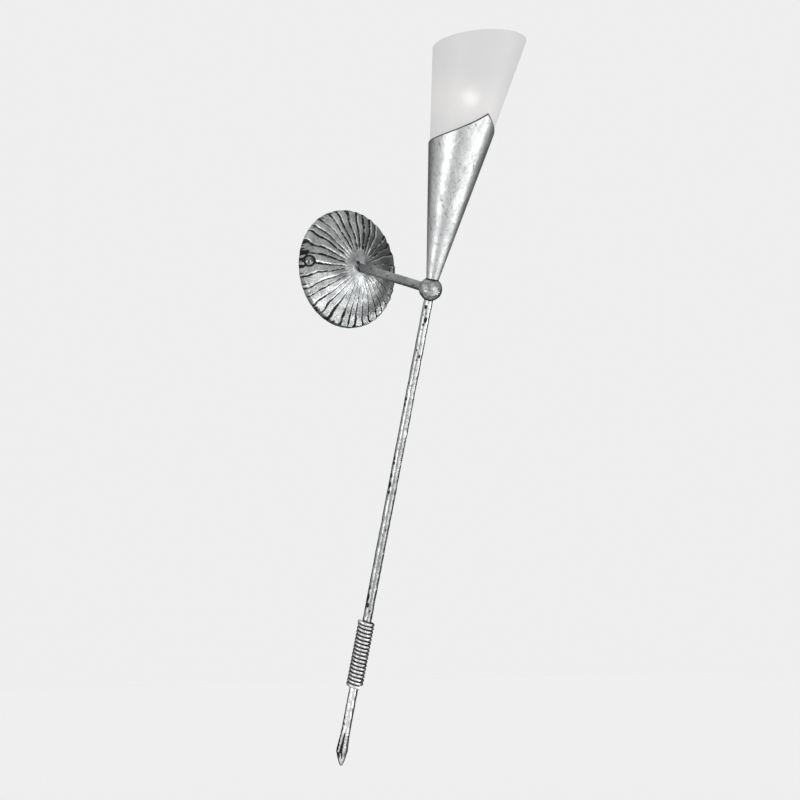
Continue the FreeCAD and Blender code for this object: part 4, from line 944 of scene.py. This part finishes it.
def point_rule(row, column):
    """A rounded diamond section, with the fold pressed into its front."""
    share = row / (POINT_ROWS - 1)
    z = POINT_TIP + (POINT_TOP - POINT_TIP) * share
    angle = 2 * math.pi * column / POINT_COLUMNS
    if z < POINT_WIDE:
        grow = (z - POINT_TIP) / (POINT_WIDE - POINT_TIP)
        grow = POINT_BLUNT + (1 - POINT_BLUNT) * max(0.0, grow) ** 0.66
        wide = POINT_HALF_WIDTH * grow
        deep = POINT_HALF_DEPTH * grow
        square = 1.25 + 0.5 * grow
        fold = max(0.0, grow - 0.72) / 0.28
    else:
        grow = (z - POINT_WIDE) / (POINT_TOP - POINT_WIDE)
        ease = grow * grow * (3 - 2 * grow)
        wide = POINT_HALF_WIDTH + (TUBE_RADIUS - POINT_HALF_WIDTH) * ease
        deep = POINT_HALF_DEPTH + (TUBE_RADIUS - POINT_HALF_DEPTH) * ease
        square = 1.75 + 0.25 * ease
        fold = max(0.0, 1 - grow)
    east = abs(math.cos(angle)) ** (2 / square) * math.copysign(wide, math.cos(angle))
    north = abs(math.sin(angle)) ** (2 / square) * math.copysign(deep, math.sin(angle))
    press = FOLD_DEPTH * fold * max(0.0, 1 - off_fold(angle, share) / FOLD_SPREAD)
    aside = POINT_ASIDE * max(0.0, (POINT_WIDE - z) / (POINT_WIDE - POINT_TIP)) ** 1.2
    spot = Vector((east, north + press, z))
    dent = 1 + 0.05 * noise.noise(spot * 0.45)
    return (spot.x * dent + aside, spot.y * dent, z)


def point_marks(row, column):
    """Dark ground in the fold and in a pit under the fold; along both side edges, stronger on the
    left, painted shade broken by chips.
    """
    angle = 2 * math.pi * column / POINT_COLUMNS
    share = row / (POINT_ROWS - 1)
    off = off_fold(angle, share)
    in_fold = 0.0
    if 0.36 < share < 0.95:
        in_fold = max(0.0, 1.3 - off / (FOLD_SPREAD * (1.1 - 0.7 * share)))
    # painted shade along the two side edges of the point, stronger on the left; chips break it up
    edges = max(1.15 * math.cos(angle - math.pi - 0.12), 0.9 * math.cos(angle + 0.1)) ** 8
    crumbs = 0.6 + noise.noise(Vector((math.cos(angle), math.sin(angle), share * 7)) * 2.2)
    pit = 1.5 - 9 * math.hypot(share - 0.30, 0.5 * (off - 0.35))
    return min(1.0, max(0.0, 1.4 * in_fold, 1.6 * edges * crumbs, pit))


def point_painted_highlights(row, column):
    """Painted highlights on the nib, on the swelling beside the fold and on the neck."""
    share = row / (POINT_ROWS - 1)
    angle = 2 * math.pi * column / POINT_COLUMNS
    off_nib = math.hypot(3.5 * (share - 0.20), 0.8 * (off_fold(angle, share) - 0.3))
    beside = 0.8 - 2.2 * abs(off_fold(angle, share) - 0.55) if 0.3 < share < 0.9 else 0.0
    neck = 3 * (share - 0.65)
    return min(1.0, max(0.0, 1.5 - 2.0 * off_nib, beside, neck))


point = skin("forged_point", POINT_ROWS, POINT_COLUMNS, point_rule,
             marks=point_marks, painted_highlights=point_painted_highlights)
point.data.transform(Matrix.Rotation(POINT_TURN, 4, "Z"))
settle(point, "torch", leaf_tube)
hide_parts("spear_point")

# %% [markdown]
# ## The rolled cone
# The cone is one flat sheet with two straight cuts, rolled round until its edges
# meet at the back. A straight cut on the flat sheet becomes a curve on the cone, with
# its peak at the front. The tree rolls a net up by that rule, adds the soft flats of
# hand rolling, and a wall is given to the sheet afterwards.

# %% Roll the sheet
CONE = {
    "Foot radius": 6.6, "Foot height": CONE_SEAT, "Half angle": math.radians(9.9),
    "Peak height": 191.6, "Cut angle": math.radians(39.5), "Flats": 0.35,
}
CONE_WALL = 0.8
CONE_COLUMNS = 181
CONE_ROWS = 120


def cone_tree(material):
    """Rows from the foot to the cut edge, round the cone from its seam at the back."""
    graph, given = new_tree("rolled_cone", CONE)
    net, share = flat_net(graph, CONE_COLUMNS, CONE_ROWS)
    angle = 2 * math.pi * (share["X"] - 0.5)
    slope = graph.math("TANGENT", given["Half angle"])
    apex = given["Foot height"] - given["Foot radius"] / slope
    on_sheet = graph.math("ABSOLUTE", angle) * graph.math("SINE", given["Half angle"])
    top = (given["Peak height"] - apex) * graph.math("COSINE", given["Cut angle"])
    top = top / graph.math("COSINE", given["Cut angle"] - on_sheet)
    foot = given["Foot height"] - apex
    reach = foot + (top - foot) * share["Y"]
    radius = reach * slope
    side = graph.math("SINE", angle)
    front = graph.math("COSINE", angle)
    around = graph.point(side * radius, front * radius, reach * 0.35)
    flats = graph.noise(around, 0.06, 2) - 0.5
    radius = radius + given["Flats"] * flats * graph.between(share["Y"], 0.0, 0.12)
    placed = moved(graph, net, graph.point(side * radius, radius * front * -1, apex + reach))

    edge = graph.between(share["Y"], 0.988, 0.996)
    seam = graph.between(graph.math("ABSOLUTE", share["X"] - 0.5), 0.494, 0.499)
    foot_line = 1 - graph.between(share["Y"], 0.0, 0.012)
    wear_and_shade = graph.math("MAXIMUM", graph.math("MAXIMUM", edge, foot_line), 0.8 * seam)
    end_tree(graph, stored(graph, placed, "wear_and_shade", wear_and_shade), material)
    return graph


cone = grown("rolled_cone_sheet", cone_tree(leaf_cone), CONE, wall=CONE_WALL)
settle(cone, "torch", leaf_cone)
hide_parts("torch_cone")

# %% [markdown]
# ## The glass
# A blown cone of 2.5 mm glass, cut on a slant and fire-polished, so its rim is
# round. Its section is a closed loop: up the outside, over the round rim and down the
# inside. Each point of the loop is lifted to the slanted rim plane at its own angle.

# %% A glass wall that ends on a slanted plane
GLASS_FOOT = 121.2
GLASS_FOOT_RADIUS = 24.83
GLASS_RIM = 258.0
GLASS_RIM_RADIUS = 46.86
GLASS_SLOPE = (GLASS_RIM_RADIUS - GLASS_FOOT_RADIUS) / (GLASS_RIM - GLASS_FOOT)
GLASS_SLANT = math.tan(math.radians(22.3))
GLASS_WALL = 2.5
RIM_ROUND = 0.25 * GLASS_WALL
GLASS_ROWS = 44
RIM_ROWS = 9
GLASS_COLUMNS = 160


def glass_rim_height(angle, inset):
    """Where the wall at this angle meets the slanted plane; angle 0 is the front."""
    start = GLASS_FOOT_RADIUS - GLASS_SLOPE * GLASS_FOOT - inset
    lift = GLASS_SLANT * math.cos(angle)
    return (GLASS_RIM + start * lift) / (1 - GLASS_SLOPE * lift)


def glass_rule(row, column):
    """Up the outside, over the rim, then down the inside."""
    angle = 2 * math.pi * column / GLASS_COLUMNS
    share, inset, lift = 1.0, 0.0, 0.0
    if row < GLASS_ROWS:
        share = row / (GLASS_ROWS - 1)
    elif row < GLASS_ROWS + RIM_ROWS:
        bend = math.pi * (row - GLASS_ROWS + 1) / (RIM_ROWS + 1)
        inset = GLASS_WALL * (1 - math.cos(bend)) / 2
        lift = RIM_ROUND * math.sin(bend)
    else:
        share = 1 - (row - GLASS_ROWS - RIM_ROWS) / (GLASS_ROWS - 1)
        inset = GLASS_WALL
    top = glass_rim_height(angle, inset) - RIM_ROUND + lift
    height = GLASS_FOOT + (top - GLASS_FOOT) * share
    radius = GLASS_FOOT_RADIUS + GLASS_SLOPE * (height - GLASS_FOOT) - inset
    return (radius * math.sin(angle), -radius * math.cos(angle), height)


glass = skin("frosted_glass_cone", 2 * GLASS_ROWS + RIM_ROWS, GLASS_COLUMNS, glass_rule,
             closed_rows=True)
settle(glass, "torch", glass_white, body="glass")
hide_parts("glass_shade")

# %% [markdown]
# ## Hardware that keeps its solids
# Everything else is hidden when the lamp hangs, or shows only as a glow in the glass,
# and its solids already have the right form. Those meshes stay as they are and only
# get their finishes.

# %% Finish the carried-over pieces
CARRIED = {
    "wall_bracket": zinc, "cable_grommet": rubber, "terminal_block": block_plastic,
    "terminal_sleeves": brass, "terminal_screws": zinc, "terminal_block_screw": zinc,
    "earth_tag": zinc, "earth_screw": brass, "arm_washer": zinc, "arm_nut": zinc,
    "rod_stud": zinc, "clamp_disc": zinc, "cone_nut": zinc, "holder_nuts": zinc,
    "holder_bracket": zinc, "lampholder": ceramic, "holder_contacts": brass,
    "holder_screws": zinc, "bulb_pins": zinc, "bulb_capsule": capsule_glass,
    "bulb_filament": tungsten, "live_wire": live_sleeve, "neutral_wire": neutral_sleeve,
    "earth_wire": earth_sleeve,
}
for node_name, material in CARRIED.items():
    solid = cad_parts[node_name]
    solid.data.materials.clear()
    solid.data.materials.append(material)
print("finished", len(CARRIED), "carried-over solids")

# %% [markdown]
# ## Floor, light and camera
# The lamp is shown over a pale floor in front of a pale background. Two soft strips
# stand parallel to the torch on either side of the camera, so that the cone and the
# rod show two long highlights with a darker streak between them. Two soft boxes light
# the rosette, one from the front and one from below.
# Bright metal only looks like metal when it also has something dark to reflect. One
# dark card stands to the right and one behind, where the left edges of the tubes
# reflect it. They are for reflections only.

# %% The floor and the background
PALE = (0.86, 0.86, 0.86, 1)
FLOOR_LIFT_FAR = (0.237, 0.237, 0.237, 1)
FLOOR_LIFT_NEAR = (0.185, 0.185, 0.185, 1)
NEAR_FLOOR_REACH = 4.5
FLOOR_HALF = 30
FLOOR_DROP = 1.2  # a wall torch hangs well above the floor
FLOOR_HEIGHT = cad_low.z - FLOOR_DROP


def flat_sheet(name, corner):
    """A square of one face; the rule gives each corner from its two signs."""
    mesh = bpy.data.meshes.new(name)
    corners = [corner(x, y) for x, y in ((-1, -1), (1, -1), (1, 1), (-1, 1))]
    mesh.from_pydata(corners, [], [(0, 1, 2, 3)])
    return shown(name, mesh)


def seen_directly(graph):
    """1 for rays from the camera, from a mirror-like surface or through glass."""
    rays = graph.node("ShaderNodeLightPath")
    through = graph.math("MAXIMUM", rays["Is Glossy Ray"], rays["Is Transmission Ray"])
    return graph.math("MAXIMUM", rays["Is Camera Ray"], through)


def floor_finish():
    """Pale paint. Seen directly, it is lifted to the background's level."""
    material, graph, place = new_finish("pale_floor")
    near = nearness(graph, place, (0.0, -0.8, FLOOR_HEIGHT), NEAR_FLOOR_REACH)
    lift = graph.blend(near, FLOOR_LIFT_FAR, FLOOR_LIFT_NEAR)
    plain = graph.node("ShaderNodeBsdfPrincipled", None, {"Base Color": PALE, "Roughness": 0.8})
    lifted = graph.node("ShaderNodeBsdfPrincipled", None, {
        "Base Color": PALE, "Roughness": 0.8, "Emission Color": lift, "Emission Strength": 1.0})
    both = graph.node("ShaderNodeMixShader", None, {0: seen_directly(graph), 1: plain, 2: lifted})
    graph.node("ShaderNodeOutputMaterial", None, {"Surface": both})
    return material


floor = flat_sheet("floor", lambda x, y: (FLOOR_HALF * x, FLOOR_HALF * y, FLOOR_HEIGHT))
floor.data.materials.append(floor_finish())
print("floor at", round(FLOOR_HEIGHT, 3), "m")

world = bpy.data.worlds.new("pale_room")
bpy.context.scene.world = world
world.use_nodes = True
world.node_tree.nodes.clear()
air = Graph(world.node_tree)
room_light = air.node("ShaderNodeBackground", None, {"Color": (1, 1, 1, 1), "Strength": 0.70})
backdrop = air.node("ShaderNodeBackground", None, {"Color": PALE, "Strength": 1.0})
both = air.node("ShaderNodeMixShader", None, {0: seen_directly(air), 1: room_light, 2: backdrop})
air.node("ShaderNodeOutputWorld", None, {"Surface": both})


# %% Soft boxes
def studio_place(azimuth, elevation, distance):
    """A place round the torch and the way to it; azimuth 0 is straight into the room."""
    turn, lift = math.radians(azimuth), math.radians(elevation)
    level = math.cos(lift)
    way = Vector((math.sin(turn) * level, -math.cos(turn) * level, math.sin(lift)))
    return world_place("torch", 0, 0, 0) + way * distance, (-way).to_track_quat("-Z", "Y")


def soft_box(name, place, turn, width, height, power, only_reflected=True):
    """A lamp panel that the camera does not see.

    Most of them show only in shiny surfaces, so that they draw highlights on the
    metal and leave no bright patch on the floor.
    """
    data = bpy.data.lights.new(name, "AREA")
    data.shape = "RECTANGLE"
    data.size = width
    data.size_y = height
    data.energy = power
    lamp = shown(name, data)
    lamp.location = place
    lamp.rotation_euler = turn.to_euler()
    lamp.visible_camera = False
    lamp.visible_diffuse = not only_reflected


def strip_box(name, azimuth, distance, low, high, width, power):
    """A strip that stands parallel to the torch, so its highlight runs all along it."""
    turn = math.radians(azimuth)
    place = FRAMES["torch"] @ (Vector((math.sin(turn) * distance, -math.cos(turn) * distance,
                                       (low + high) / 2)) / MM) * MM
    upright = Matrix.Rotation(turn, 3, "Z") @ Matrix.Rotation(math.pi / 2, 3, "X")
    soft_box(name, place, FRAMES["torch"].to_3x3() @ upright, width, high - low, power)


strip_box("left_strip", -79, 1.6, low=-0.80, high=0.35, width=0.80, power=10)
strip_box("right_strip", 12, 0.8, low=-0.70, high=0.0, width=0.30, power=1.4)
soft_box("front_box", *studio_place(-12, -8, 2.0), width=0.60, height=1.2, power=8,
         only_reflected=False)
soft_box("low_box", *studio_place(46, -17, 1.25), width=0.60, height=0.36, power=5.0)


# %% Dark cards
CARD_CLOTH = (0.06, 0.06, 0.06, 1)


def dark_card(name, azimuth, elevation, distance, width, height):
    """A card that only reflections see, so it shades nothing and hides nothing."""
    spot, turn = studio_place(azimuth, elevation, distance)
    half = Vector((width / 2, height / 2, 0))
    card = flat_sheet(name, lambda x, y: turn @ (half * Vector((x, y, 0))) + spot)
    material, graph, place = new_finish(name + "_cloth")
    dress(graph, {"Base Color": CARD_CLOTH, "Roughness": 0.9})
    card.data.materials.append(material)
    card.visible_camera = False
    card.visible_diffuse = False
    card.visible_transmission = False
    card.visible_shadow = False


dark_card("right_card", 90, -15, 1.0, width=1.8, height=2.0)
dark_card("left_card", -190, -15, 1.0, width=1.7, height=2.0)

# %% The camera of the photograph
CAMERA_PLACE = Vector((-1.523, -1.948, -0.370))
CAMERA_TURN = math.radians(-39.40)
CAMERA_PITCH = math.radians(5.14)
SENSOR = 36.0
PICTURE = 800
FOCAL_PIXELS = 2262

ahead = Vector((-math.sin(CAMERA_TURN) * math.cos(CAMERA_PITCH),
                math.cos(CAMERA_TURN) * math.cos(CAMERA_PITCH), math.sin(CAMERA_PITCH)))
eye = bpy.data.cameras.new("photo_camera")
eye.sensor_width = SENSOR
eye.lens = FOCAL_PIXELS * SENSOR / PICTURE
eye.clip_end = 100
camera = shown("photo_camera", eye)
camera.location = CAMERA_PLACE
camera.rotation_euler = ahead.to_track_quat("-Z", "Y").to_euler()
bpy.context.scene.camera = camera
bpy.context.scene.view_settings.view_transform = "Standard"
print("lens", round(eye.lens, 2), "mm")
